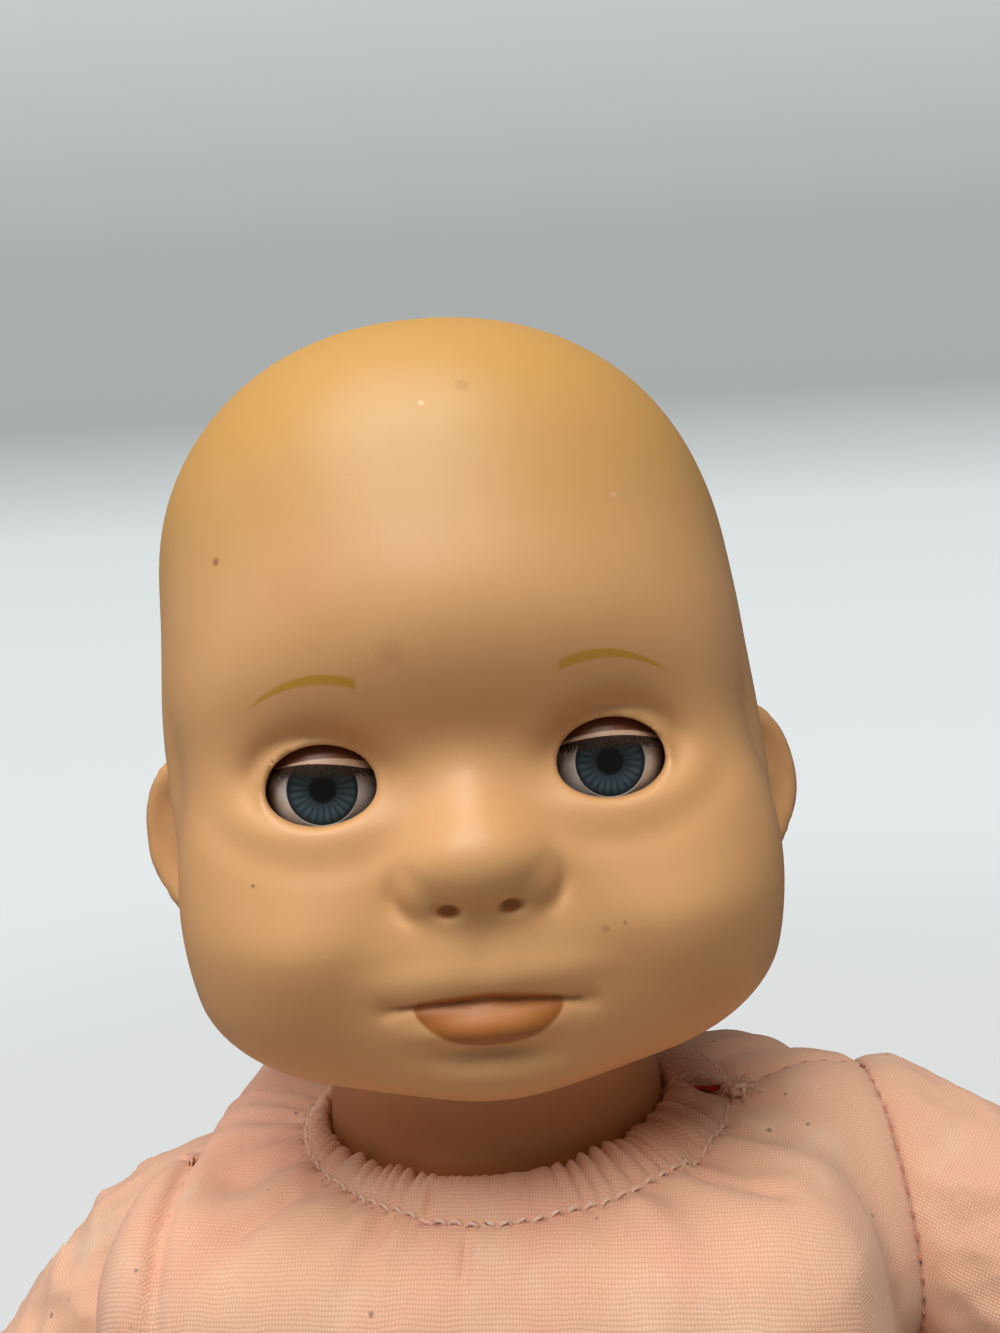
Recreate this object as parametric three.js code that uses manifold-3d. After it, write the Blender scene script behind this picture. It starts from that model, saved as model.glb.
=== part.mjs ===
import * as THREE from 'three';
import { mergeVertices } from 'three/addons/utils/BufferGeometryUtils.js';
import Module from 'manifold-3d';

const wasm = await Module();
wasm.setup();

// A sixteen inch soft-bodied baby doll, sitting. Millimetres and degrees. +Z is up, the doll faces -Y,
// its left side is +X, and the origin is the middle of its flat seat.

// Clearance between pieces that touch, and between pieces that run on each other
const gap = 0.3;
const runningGap = 0.4;

// How far a cut runs past the faces that it opens
const overrun = 5;

// Cloth body
const clothThickness = 1.2;
const bodyCentre = [0, 0, 74];
const chest = { at: [0, -2, 101], radii: [60.5, 49.5, 40.5], powers: [5, 5, 4], blend: 1 };
const belly = { at: [0, -2, 50], radii: [60.5, 47.5, 56], powers: [2.7, 2.5, 2.7], blend: 12 };
const chestTop = chest.at[2] + chest.radii[2];
const wide = 2 * chestTop;
const seamY = 4;
const puffLeft = 4;
const puffRight = 7;
const puffStart = 32;
const puffEnd = 58;
const puffLow = 60;
const puffHigh = 105;
const pelletBagTop = 20;

// Neck casing of the cloth body, and the cord in it
const casingRise = 0.8;
const casingEdge = chestTop + casingRise;
const casingOuterRadius = 38;
const casingSlope = 2;
const casingThickness = 3;
const casingHook = 2.8;
const casingLip = 4.4;
const casingChamfer = 0.5;
const casingSlit = 6;
const drawstringRadius = 1;
const drawstringKnot = 2.4;
const neckNodRoom = 7.5;

// Neck of the head: a tube with a tying groove above a flange
const neckRadius = 29.5;
const neckBore = 22.5;
const neckTaper = 2;
const neckGrooveDepth = 4;
const neckGrooveTop = casingEdge - casingHook;
const neckGrooveHeight = 6;
const neckFlangeProud = 1;
const neckFlangeHeight = 4.5;
const neckFlangeChamfer = 1;

// Head: everything in the head's own frame, whose origin is on the neck axis at brow height
const chinDrop = 60;
const neckShown = 18.5;
const browHeight = neckGrooveTop + neckShown + chinDrop;
const neckTop = 7.5 - chinDrop;
const headTurn = 10;
const headWall = 3;
const headCentre = [0, -3, -12];
const cranium = { at: [0, 6.2, 12.9], radii: [50, 53.1, 48.7], power: 2.16, blend: 1 };
const sideOfHead = { at: [0, 3, -11], radii: [41.7, 48, 42.5], power: 2.3, blend: 14 };
const face = { at: [0, -28, -35.2], radii: [41.9, 19, 29.6], power: 2.75, blend: 19.6 };
const cheek = { at: [25.2, -17.6, -30.9], radii: [11.4, 16.4, 17.8], power: 2, blend: 14 };
const chin = { at: [0, -40.5, -53.5], radii: [13, 9.5, 6.5], power: 2, blend: 8 };
const headMasses = [cranium, sideOfHead, face, cheek, chin];

// Nose, lips and nostrils, as rounded masses blended into the face
const noseTip = { at: [0, -50.6, -24.4], radii: [6.4, 6.4, 5.8], power: 2, blend: 5 };
const noseBridge = { at: [0, -46, -15], radii: [4.6, 5, 10], power: 2, blend: 7 };
const noseWing = { at: [6.5, -46.6, -28.8], radii: [4.3, 4.6, 3.9], power: 2, blend: 3 };
const upperLip = { at: [0, -46.6, -40.4], radii: [10, 4.2, 2.4], power: 2, blend: 3 };
const lowerLip = { at: [0, -46.4, -45.7], radii: [9.4, 4.7, 3], power: 2, blend: 1.6 };
const faceDetails = [noseTip, noseBridge, noseWing, upperLip, lowerLip];
const nostril = { at: [4, noseTip.at[1] - 2.6, noseTip.at[2] - 6], radii: [1.7, 2.6, 1.5] };

// Places of the eyes in the head
const eyeSpacing = 40;
const eyeHeight = -14.6;

// Shallow hollows pressed into the face, each with its depth and its spread across and up
const eyeHollow = { x: eyeSpacing / 2, z: eyeHeight + 2.1, depth: 3.55, across: 12, up: 9 };
const lipHollow = { x: 0, z: -51.4, depth: 1.7, across: 10, up: 2.6 };
const facePlane = -20;

// Ears
const earRootOut = 0.3;
const earSunk = 2;
const earHeight = -25.4;
const earRoot = [sideOfHead.radii[0] + earRootOut, -2, earHeight];
const earFlare = 26;
const earReach = 19.5;
const earHalfHeight = 14.2;
const earHalfThickness = 3;
const conchaRadii = [5, 8.5, 2.6];

// Sleep eyes
const eyeOpeningWidth = 15.4;
const eyeOpeningHeight = 10.8;
const eyeOpeningRise = 0.8;
const eyeRadius = 8.8;
const eyeSetBack = 10.6;
const lidThickness = 0.45;
const lidEdge = 23;
const lidCover = 92;
const lidHalfWidth = 66;
const lashDrop = 2.5;
const lashLength = 14;
const lashHalfWidth = 36;
const irisRadius = 4.9;
const irisThickness = 0.6;
const irisRecess = 0.8;
const lensThickness = 1.2;
const eyePinRadius = 1;
const eyePinHold = 0.7;
const socketWall = 1.5;
const socketDepth = 5;
const socketFront = 62;
const eyeWeightBack = 13;
const eyeWeightDrop = 9;
const eyeWeightRadius = 3.6;
const eyeWeightLength = 9;
const eyeWeightStem = 1.5;
const eyeWeightSunk = 2.5;

// Arms
const shoulderOutLeft = 6;
const shoulderOutRight = 3.5;
const shoulderDropLeft = 18.5;
const shoulderDropRight = 31.5;
const shoulderOut = (side) => (side > 0 ? shoulderOutLeft : shoulderOutRight);
const shoulderDrop = (side) => (side > 0 ? shoulderDropLeft : shoulderDropRight);
const shoulderAt = (side) => [
  side * (chest.radii[0] + shoulderOut(side)), 2, chestTop - shoulderDrop(side),
];
const shoulderRadius = 20;
const armDropRight = 43;
const armDropLeft = 20;
const armForward = 28;
const sleeveLength = 52;
const sleeveEndRadius = 15;
const sleeveBulge = 1.2;
const armStubRadius = 9;
const armStubLength = 11;
const stubSunk = 4;
const tieCord = 0.9;
const tieDistance = 5;
const hemRound = 1;

// Forearm and hand, seen along the arm from the end of the sleeve
const forearmRadius = 13.2;
const cuffTaper = 1.5;
const elbowAt = 16;
const wristRadius = 9.6;
const wristAt = [10, -3, 47];
const palmShift = [4, -1, 14];
const palmAt = wristAt.map((value, axis) => value + palmShift[axis]);
const palmRadii = [11.5, 6.4, 13.5];
const knuckleReach = 9.7;
const fingerPlaces = [-1.5, -0.5, 0.5, 1.5];
const fingerPitch = 5.95;
const fingerRadius = 3.5;
const fingerLength = 11;
const fingerCurl = 3.5;
const fingerTaper = 0.85;
const thumbRadius = 3.6;
const thumbReach = 4;

// Legs
const hipRadius = 24;
const hipInset = 19.5;
const hipSideGap = 1;
const crotchHalfWidth = 6.5;
const hip = [
  crotchHalfWidth + hipRadius + hipSideGap,
  belly.at[1] - belly.radii[1] + hipInset,
  hipRadius + 2 * gap,
];
const legSplay = 12;
const legDrop = 3.2;
const legRaise = 25;
const thighLength = 58;
const thighEndRadius = 17.2;
const legStubRadius = 11;
const legStubLength = 12;

// Lower leg and foot, seen along the leg from the end of the thigh
const kneeRadius = 15.8;
const calfRadius = 18.2;
const calfAt = 24;
const ankleRadius = 13;
const ankleAt = [0, -3, 50];
const footShift = [0, 11, 10];
const footAt = ankleAt.map((value, axis) => value + footShift[axis]);
const footRadii = [12.6, 23.5, 10.5];
const toeCount = 5;
const toeRadius = 4.1;
const toeShrink = 0.45;
const toePitch = 4.7;
const toeRise = 1.5;

// How many flats stand for a full turn: on large bodies, on small pieces, and on fingers and toes
const largeSegments = 24;
const smallSegments = 14;
const tinySegments = 6;
const ballSegments = 20;

const radians = THREE.MathUtils.degToRad;
const sides = { left: 1, right: -1 };

// Finishes
const finish = (color, roughness) => new THREE.MeshStandardMaterial({ color, roughness, metalness: 0 });
const vinyl = finish(0xdcaa80, 0.45);
const cotton = finish(0xeab491, 0.9);
const fibre = finish(0xf3efe6, 1);
const cord = finish(0xe9d8c6, 0.85);
const pellets = finish(0xd8dde0, 0.7);
const eyeWhite = finish(0xe8e4dc, 0.3);
const lidPaint = finish(0xc98f74, 0.4);
const irisPrint = finish(0x5b7c92, 0.4);
const clear = finish(0xf4f7f8, 0.05);
const lashHair = finish(0x4a3320, 0.8);
const socketPlastic = finish(0xcfc8b8, 0.6);
const steel = new THREE.MeshStandardMaterial({ color: 0x8d9094, roughness: 0.35, metalness: 1 });

// Turns a closed geometry into a solid that can be cut and joined
function solid(geometry) {
  const bare = geometry.clone();
  bare.deleteAttribute('normal');
  bare.deleteAttribute('uv');
  const merged = mergeVertices(bare, 1e-4);
  const index = merged.index.array;
  const kept = [];
  for (let i = 0; i < index.length; i += 3) {
    const [a, b, c] = [index[i], index[i + 1], index[i + 2]];
    if (a !== b && b !== c && c !== a) kept.push(a, b, c);
  }
  const vertProperties = Float32Array.from(merged.attributes.position.array);
  const triVerts = Uint32Array.from(kept);
  return new wasm.Manifold(new wasm.Mesh({ numProp: 3, vertProperties, triVerts }));
}

// Turns a solid back into a geometry
function geometryOf(shape) {
  const mesh = shape.getMesh();
  const geometry = new THREE.BufferGeometry();
  geometry.setAttribute('position', new THREE.BufferAttribute(mesh.vertProperties, 3));
  geometry.setIndex(new THREE.BufferAttribute(mesh.triVerts, 1));
  geometry.computeVertexNormals();
  return geometry;
}

// Puts a solid, or a geometry, into a group as a named sub-part
function addPart(group, name, shape, material) {
  const geometry = shape.isBufferGeometry ? shape : geometryOf(shape);
  const mesh = new THREE.Mesh(geometry, material);
  mesh.name = name;
  group.add(mesh);
}

function union(shapes) {
  return shapes.reduce((whole, next) => whole.add(next));
}

function box(low, high) {
  const size = high.map((value, axis) => value - low[axis]);
  const geometry = new THREE.BoxGeometry(...size);
  geometry.translate(...high.map((value, axis) => (value + low[axis]) / 2));
  return solid(geometry);
}

function ellipsoid(at, radii, around = smallSegments) {
  const geometry = new THREE.SphereGeometry(1, around, Math.ceil(around * 0.6));
  geometry.scale(...radii);
  geometry.translate(...at);
  return solid(geometry);
}

// A rod or a cone along any line, with flat ends
function rod(from, to, startRadius, endRadius = startRadius, around = smallSegments) {
  const start = new THREE.Vector3(...from);
  const along = new THREE.Vector3(...to).sub(start);
  const geometry = new THREE.CylinderGeometry(endRadius, startRadius, along.length(), around);
  geometry.translate(0, along.length() / 2, 0);
  const up = new THREE.Vector3(0, 1, 0);
  geometry.applyQuaternion(new THREE.Quaternion().setFromUnitVectors(up, along.clone().normalize()));
  geometry.translate(...from);
  return solid(geometry);
}

// A tapered rod with round ends, along any line
function limb(from, to, startRadius, endRadius, around) {
  const along = new THREE.Vector3(...to).sub(new THREE.Vector3(...from));
  const length = along.length();
  const steps = Math.ceil(around / 4);
  const profile = [];
  for (let step = 0; step <= steps; step += 1) {
    const angle = (Math.PI / 2) * (step / steps - 1);
    profile.push([startRadius * Math.cos(angle), startRadius * Math.sin(angle)]);
  }
  for (let step = 0; step <= steps; step += 1) {
    const angle = (Math.PI / 2) * (step / steps);
    profile.push([endRadius * Math.cos(angle), length + endRadius * Math.sin(angle)]);
  }
  profile[0][0] = 0;
  profile.at(-1)[0] = 0;
  const points = profile.map(([radius, height]) => new THREE.Vector2(radius, height));
  const geometry = new THREE.LatheGeometry(points, around);
  const up = new THREE.Vector3(0, 1, 0);
  geometry.applyQuaternion(new THREE.Quaternion().setFromUnitVectors(up, along.normalize()));
  geometry.translate(...from);
  return solid(geometry);
}

// A turned solid about the Z axis, from [radius, height] points that run from the bottom up
function turned(profile, around) {
  const points = profile.map(([radius, height]) => new THREE.Vector2(radius, height));
  const geometry = new THREE.LatheGeometry(points, around);
  geometry.rotateX(Math.PI / 2);
  return solid(geometry);
}

// How far a point is outside a rounded mass: below zero inside it
function massField(mass, x, y, z) {
  const [cx, cy, cz] = mass.at;
  const [rx, ry, rz] = mass.radii;
  const [px, py, pz] = mass.powers ?? [mass.power, mass.power, mass.power];
  const acrossLevel = Math.abs((x - cx) / rx) ** px;
  const forwardLevel = Math.abs((y - cy) / ry) ** py;
  const upLevel = Math.abs((z - cz) / rz) ** pz;
  const level = (acrossLevel + forwardLevel + upLevel) ** (1 / Math.max(px, py, pz));
  return (level - 1) * Math.min(rx, ry, rz);
}

// Joins two fields with a rounded valley between them
function blended(a, b, blend) {
  const reach = Math.max(blend - Math.abs(a - b), 0) / blend;
  return Math.min(a, b) - reach * reach * blend * 0.25;
}

function hollowField(hollow, x, y, z) {
  if (y > facePlane) return 0;
  const across = (x - hollow.x) / hollow.across;
  const up = (z - hollow.z) / hollow.up;
  return hollow.depth * Math.exp(-across * across - up * up);
}

function massesField(masses, x, y, z) {
  const mirrored = Math.abs(x);
  const fields = masses.map((mass) => massField(mass, mirrored, y, z));
  return fields.reduce((whole, next, index) => blended(whole, next, masses[index].blend));
}

function headBaseField(x, y, z) {
  const hollows = hollowField(eyeHollow, Math.abs(x), y, z) + hollowField(lipHollow, Math.abs(x), y, z);
  return massesField(headMasses, x, y, z) + hollows;
}

function headFaceField(x, y, z) {
  const mirrored = Math.abs(x);
  let field = headBaseField(x, y, z);
  for (const detail of faceDetails) {
    field = blended(field, massField(detail, mirrored, y, z), detail.blend);
  }
  return field;
}

// The share of a step from low to high, rounded at both ends
function eased(value, low, high) {
  const share = Math.min(Math.max((value - low) / (high - low), 0), 1);
  return share * share * (3 - 2 * share);
}

// The stuffing pushes the chest up beside the neck, higher on the doll's right
function bodyField(x, y, z) {
  const puff = x > 0 ? puffLeft : puffRight;
  const share = eased(Math.abs(x), puffStart, puffEnd) * eased(z, puffLow, puffHigh);
  return massesField([chest, belly], x, y, z - puff * share);
}

// Distance from a point, along a direction, to where a field turns from inside to outside
function reachOf(field, from, along, most) {
  let near = 0;
  let far = most;
  for (let step = 0; step < 30; step += 1) {
    const middle = (near + far) / 2;
    const at = from.map((value, axis) => value + along[axis] * middle);
    if (field(...at) < 0) near = middle;
    else far = middle;
  }
  return near;
}

// Angles from a list of [end angle, steps] spans, starting at zero
function spans(list) {
  const angles = [];
  let start = 0;
  for (const [end, steps] of list) {
    for (let step = 1; step <= steps; step += 1) angles.push(start + ((end - start) * step) / steps);
    start = end;
  }
  return angles.slice(0, -1);
}

// A closed skin round a centre, which lies where the field is zero, drawn in by an inset
function skin(field, centre, inset, rowSpans, columns, frontCrowding) {
  const rows = spans(rowSpans);
  const positions = [];
  const index = [];
  const addPoint = (down, around) => {
    const along = [
      Math.sin(down) * Math.sin(around),
      -Math.sin(down) * Math.cos(around),
      Math.cos(down),
    ];
    const distance = reachOf(field, centre, along, wide) - inset;
    positions.push(...centre.map((value, axis) => value + along[axis] * distance));
  };
  addPoint(0, 0);
  for (const down of rows) {
    for (let column = 0; column < columns; column += 1) {
      const even = (2 * Math.PI * column) / columns;
      addPoint(radians(down), even - frontCrowding * Math.sin(even));
    }
  }
  addPoint(Math.PI, 0);
  const last = 1 + rows.length * columns;
  for (let column = 0; column < columns; column += 1) {
    const next = (column + 1) % columns;
    index.push(0, 1 + column, 1 + next);
    for (let row = 0; row < rows.length - 1; row += 1) {
      const upper = 1 + row * columns;
      const lower = upper + columns;
      index.push(upper + column, lower + column, lower + next);
      index.push(upper + column, lower + next, upper + next);
    }
    const bottom = last - columns;
    index.push(bottom + column, last, bottom + next);
  }
  const geometry = new THREE.BufferGeometry();
  geometry.setAttribute('position', new THREE.Float32BufferAttribute(positions, 3));
  geometry.setIndex(index);
  return solid(geometry);
}

// A thick curved plate: a closed solid between two open sheets of the same grid
function plate(point, stepsU, stepsV) {
  const positions = [];
  const index = [];
  const rowSize = stepsV + 1;
  const sheetSize = (stepsU + 1) * rowSize;
  for (const side of [0, 1]) {
    for (let u = 0; u <= stepsU; u += 1) {
      for (let v = 0; v <= stepsV; v += 1) positions.push(...point(u / stepsU, v / stepsV, side));
    }
  }
  const quad = (a, b, c, d) => index.push(a, b, c, a, c, d);
  for (let u = 0; u < stepsU; u += 1) {
    for (let v = 0; v < stepsV; v += 1) {
      const a = u * rowSize + v;
      quad(a, a + 1, a + rowSize + 1, a + rowSize);
      quad(sheetSize + a, sheetSize + a + rowSize, sheetSize + a + rowSize + 1, sheetSize + a + 1);
    }
  }
  for (let v = 0; v < stepsV; v += 1) {
    const far = stepsU * rowSize + v;
    quad(v, sheetSize + v, sheetSize + v + 1, v + 1);
    quad(far, far + 1, sheetSize + far + 1, sheetSize + far);
  }
  for (let u = 0; u < stepsU; u += 1) {
    const a = u * rowSize;
    const b = a + stepsV;
    quad(a, a + rowSize, sheetSize + a + rowSize, sheetSize + a);
    quad(b, sheetSize + b, sheetSize + b + rowSize, b + rowSize);
  }
  const geometry = new THREE.BufferGeometry();
  geometry.setAttribute('position', new THREE.Float32BufferAttribute(positions, 3));
  geometry.setIndex(index);
  return solid(geometry);
}

// The head is drawn with close rows between forehead and chin, and close columns at the front
const headRows = [[66, 5], [140, 20], [180, 3]];
const headColumns = 36;
const cavityRows = [[180, 10]];
const cavityColumns = 18;
const frontCrowding = 0.45;

const cavity = (inset) => skin(headBaseField, headCentre, inset, cavityRows, cavityColumns, 0);

function eyeCentre(side) {
  const x = eyeSpacing / 2;
  const outside = (px, py, pz) => -headBaseField(px, py, pz);
  const reach = reachOf(outside, [x, -wide, eyeHeight], [0, 1, 0], wide);
  return [side * x, -wide + reach + eyeSetBack, eyeHeight];
}

const lidInnerRadius = eyeRadius + gap;
const lidOuterRadius = lidInnerRadius + lidThickness;
const socketInnerRadius = lidOuterRadius + runningGap;
const socketOuterRadius = socketInnerRadius + socketWall;
const pinHoleRadius = eyePinRadius + gap;

// The oval of one eye opening, as a block that runs from in front of the face to the eye's middle
function eyeOpening(side) {
  const [x, y, z] = eyeCentre(side);
  const outline = new THREE.Shape();
  outline.absellipse(0, 0, eyeOpeningWidth / 2, eyeOpeningHeight / 2, 0, 2 * Math.PI);
  const depth = 40;
  const geometry = new THREE.ExtrudeGeometry(outline, { depth, bevelEnabled: false, curveSegments: 9 });
  geometry.rotateX(Math.PI / 2);
  geometry.translate(x, y, z + eyeOpeningRise);
  return solid(geometry);
}

function ear(side) {
  const flare = radians(earFlare);
  const middle = earReach / 2;
  const [rootX, rootY, rootZ] = earRoot;
  const at = [rootX + Math.cos(flare) * middle, rootY + Math.sin(flare) * middle, rootZ];
  const place = (geometry, offset) => {
    geometry.rotateZ(flare);
    geometry.translate(at[0] + Math.sin(flare) * offset, at[1] - Math.cos(flare) * offset, at[2]);
    return solid(geometry);
  };
  const disc = new THREE.SphereGeometry(1, 12, 8);
  disc.scale(middle + earSunk / 2, earHalfThickness, earHalfHeight);
  const bowl = new THREE.SphereGeometry(1, 8, 5);
  bowl.scale(conchaRadii[0], conchaRadii[2], conchaRadii[1]);
  const shape = place(disc, 0).subtract(place(bowl, earHalfThickness));
  return side > 0 ? shape : shape.mirror([1, 0, 0]);
}

// Heights of the neck's steps, in the head's frame
const grooveTop = neckGrooveTop - browHeight;
const grooveBottom = grooveTop - neckGrooveHeight;
const neckBottom = grooveBottom - neckFlangeHeight;
const grooveRadius = neckRadius - neckGrooveDepth;
const flangeRadius = neckRadius + neckFlangeProud;

function neckOutside() {
  return turned([
    [0, neckBottom],
    [flangeRadius - neckFlangeChamfer, neckBottom],
    [flangeRadius, neckBottom + neckFlangeChamfer],
    [flangeRadius, grooveBottom],
    [grooveRadius, grooveBottom],
    [grooveRadius, grooveTop],
    [neckRadius, grooveTop],
    [neckRadius - neckTaper / 2, (grooveTop + neckTop) / 2],
    [neckRadius - neckTaper, neckTop],
    [0, neckTop],
  ], largeSegments);
}

function headShell() {
  const outside = skin(headFaceField, headCentre, 0, headRows, headColumns, frontCrowding);
  let shell = union([outside, neckOutside(), ear(1), ear(-1)]).subtract(cavity(headWall));
  const boreEnds = [[0, 0, neckBottom - overrun], [0, 0, neckTop + overrun]];
  shell = shell.subtract(rod(...boreEnds, neckBore, neckBore, largeSegments));
  for (const side of [1, -1]) {
    const centre = eyeCentre(side);
    const at = [side * nostril.at[0], nostril.at[1], nostril.at[2]];
    const clearance = [socketInnerRadius, socketInnerRadius, socketInnerRadius];
    shell = shell.subtract(eyeOpening(side));
    shell = shell.subtract(ellipsoid(centre, clearance));
    shell = shell.subtract(ellipsoid(at, nostril.radii, tinySegments));
  }
  return shell;
}

// A cup round the eye, open in front and behind, which seats on the inside of the head
function eyeSocket(side) {
  const centre = eyeCentre(side);
  const arc = (radius, from, to, steps) => Array.from({ length: steps + 1 }, (_, step) => {
    const angle = from + ((to - from) * step) / steps;
    return [radius * Math.cos(angle), radius * Math.sin(angle)];
  });
  const frontAngle = radians(socketFront);
  const rearOuter = -Math.asin(socketDepth / socketOuterRadius);
  const rearInner = -Math.asin(socketDepth / socketInnerRadius);
  const outer = arc(socketOuterRadius, rearOuter, frontAngle, 4);
  const inner = arc(socketInnerRadius, frontAngle, rearInner, 4);
  const cup = turned([...outer, ...inner, outer[0]], smallSegments);
  const placed = cup.rotate([90, 0, 0]).translate(centre);
  const reach = socketOuterRadius + overrun;
  const [x, y, z] = centre;
  const pinHole = rod([x - reach, y, z], [x + reach, y, z], pinHoleRadius, pinHoleRadius, 8);
  return placed.intersect(cavity(headWall + gap)).subtract(pinHole);
}

// One swinging eye, built round its pin: lid, ball, iris, lens, lashes, pin and weight
function addEye(group, name, side) {
  const centre = eyeCentre(side);
  const onBall = (radius, elevation, across) => {
    const up = radians(elevation);
    const sideways = radians(across);
    return [
      radius * Math.sin(sideways),
      -radius * Math.cos(sideways) * Math.cos(up),
      radius * Math.cos(sideways) * Math.sin(up),
    ];
  };
  const lidPlate = (low, high, halfWidth, stepsU, stepsV) => plate((u, v, layer) => {
    const elevation = low + (high - low) * u;
    return onBall(layer === 0 ? lidOuterRadius : lidInnerRadius, elevation, halfWidth * (2 * v - 1));
  }, stepsU, stepsV);

  const pinReach = socketOuterRadius + eyePinHold;
  const pinHole = rod([-pinReach, 0, 0], [pinReach, 0, 0], pinHoleRadius, pinHoleRadius, 8);
  const pocketFloor = irisRecess - Math.sqrt(eyeRadius ** 2 - irisRadius ** 2);
  const pocket = rod([0, pocketFloor, 0], [0, -eyeRadius - overrun, 0], irisRadius);
  const stemEnd = new THREE.Vector3(0, eyeWeightBack, -eyeWeightDrop);
  const stemStart = stemEnd.clone().setLength(eyeRadius - eyeWeightSunk);
  const stemHole = rod([...stemStart], [...stemEnd], eyeWeightStem + gap, eyeWeightStem + gap, 8);
  const ball = ellipsoid([0, 0, 0], [eyeRadius, eyeRadius, eyeRadius], ballSegments);

  const irisBack = pocketFloor - gap;
  const iris = rod([0, irisBack, 0], [0, irisBack - irisThickness, 0], irisRadius - gap);
  const lensBack = irisBack - irisThickness - gap;
  const lensBlank = rod([0, lensBack, 0], [0, lensBack - lensThickness, 0], irisRadius - gap);
  const lens = lensBlank.intersect(ellipsoid([0, 0, 0], [eyeRadius, eyeRadius, eyeRadius]));

  const stemSeat = stemEnd.clone().setLength(eyeRadius - eyeWeightSunk + gap);
  const weightBar = rod([-eyeWeightLength / 2, ...stemEnd.toArray().slice(1)],
    [eyeWeightLength / 2, ...stemEnd.toArray().slice(1)], eyeWeightRadius, eyeWeightRadius, 8);
  const weight = weightBar.add(rod([...stemSeat], [...stemEnd], eyeWeightStem, eyeWeightStem, 8));

  const eye = new THREE.Group();
  eye.position.set(...centre);
  addPart(eye, `eyeball_${name}`, ball.subtract(pinHole).subtract(pocket).subtract(stemHole), eyeWhite);
  addPart(eye, `eyelid_${name}`, lidPlate(lidEdge, lidEdge + lidCover, lidHalfWidth, 5, 8), lidPaint);
  const lashTop = lidEdge - lashDrop;
  addPart(eye, `eye_lashes_${name}`,
    lidPlate(lashTop - lashLength, lashTop, lashHalfWidth, 2, 6), lashHair);
  addPart(eye, `eye_iris_${name}`, iris, irisPrint);
  addPart(eye, `eye_lens_${name}`, lens, clear);
  addPart(eye, `eye_pin_${name}`,
    rod([-pinReach, 0, 0], [pinReach, 0, 0], eyePinRadius, eyePinRadius, 8), steel);
  addPart(eye, `eye_weight_${name}`, weight, steel);
  group.add(eye);
}

function buildHead() {
  const head = new THREE.Group();
  head.position.z = browHeight;
  head.rotation.z = radians(headTurn);
  addPart(head, 'head_shell', headShell(), vinyl);
  for (const [name, side] of Object.entries(sides)) {
    addPart(head, `eye_socket_${name}`, eyeSocket(side), socketPlastic);
    addEye(head, name, side);
  }
  return head;
}

// The casing lies on the shoulders and hooks into the neck groove round the cord
const casingInnerRadius = neckRadius + runningGap;
const lipRadius = grooveRadius + 2 * gap + 2 * drawstringRadius + gap;
const cordHeight = neckGrooveTop - neckGrooveHeight / 2;
const cordRing = grooveRadius + gap + drawstringRadius;

function neckCasing() {
  const outerTop = casingEdge - casingSlope;
  const bottom = outerTop - casingThickness;
  const lipTop = neckGrooveTop - runningGap;
  const ring = turned([
    [casingInnerRadius, casingEdge],
    [casingInnerRadius, lipTop],
    [lipRadius, lipTop - casingChamfer],
    [lipRadius, lipTop - casingLip],
    [casingInnerRadius + 2 * casingChamfer, lipTop - casingLip],
    [casingOuterRadius, bottom],
    [casingOuterRadius, outerTop],
    [casingInnerRadius, casingEdge],
  ], largeSegments);
  const slitLow = [0, -casingSlit / 2, bottom - 2 * overrun];
  const slitHigh = [casingOuterRadius + overrun, casingSlit / 2, casingEdge + overrun];
  return ring.subtract(box(slitLow, slitHigh));
}

function neckDrawstring() {
  const ring = new THREE.TorusGeometry(cordRing, drawstringRadius, tinySegments, largeSegments);
  ring.translate(0, 0, cordHeight);
  const knotRadius = casingOuterRadius + drawstringKnot;
  const knot = [knotRadius, 0, casingEdge + drawstringKnot / 2];
  const tail = limb([cordRing, 0, cordHeight], knot, drawstringRadius, drawstringRadius, tinySegments);
  const ball = ellipsoid(knot, [drawstringKnot, drawstringKnot, drawstringKnot], 8);
  return union([solid(ring), tail, ball]);
}

// What the neck, arms and legs need kept clear of the body, grown by a margin
function bodyClearances(margin) {
  const wellRadius = casingOuterRadius + 2 * gap + margin;
  const wellFloor = neckBottom + browHeight - neckNodRoom - margin;
  const cuts = [rod([0, 0, wellFloor], [0, 0, wide], wellRadius, wellRadius, largeSegments)];
  for (const side of [1, -1]) {
    cuts.push(armClearance(side, margin), legClearance(side, margin));
  }
  return union(cuts);
}

// Angle between an arm and the shoulder line that it swings about
function armLean(drop) {
  return Math.acos(Math.cos(radians(drop)) * Math.cos(radians(armForward)));
}

// The space that one arm sweeps as it swings about the shoulder line
function armClearance(side, margin) {
  const radius = shoulderRadius + gap + margin;
  const lean = Math.max(armLean(armDropLeft), armLean(armDropRight));
  const steps = 4;
  const profile = [[0, -radius]];
  for (let step = 1; step <= steps; step += 1) {
    const angle = -Math.PI / 2 + ((Math.PI / 2 - lean) * step) / steps;
    profile.push([radius * Math.cos(angle), radius * Math.sin(angle)]);
  }
  const [lastRadius, lastHeight] = profile.at(-1);
  const run = sleeveLength;
  profile.push([lastRadius + run * Math.sin(lean), lastHeight + run * Math.cos(lean)]);
  profile.push([0, lastHeight + run * Math.cos(lean)]);
  return turned(profile, smallSegments).rotate([0, 90 * side, 0]).translate(shoulderAt(side));
}

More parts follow.
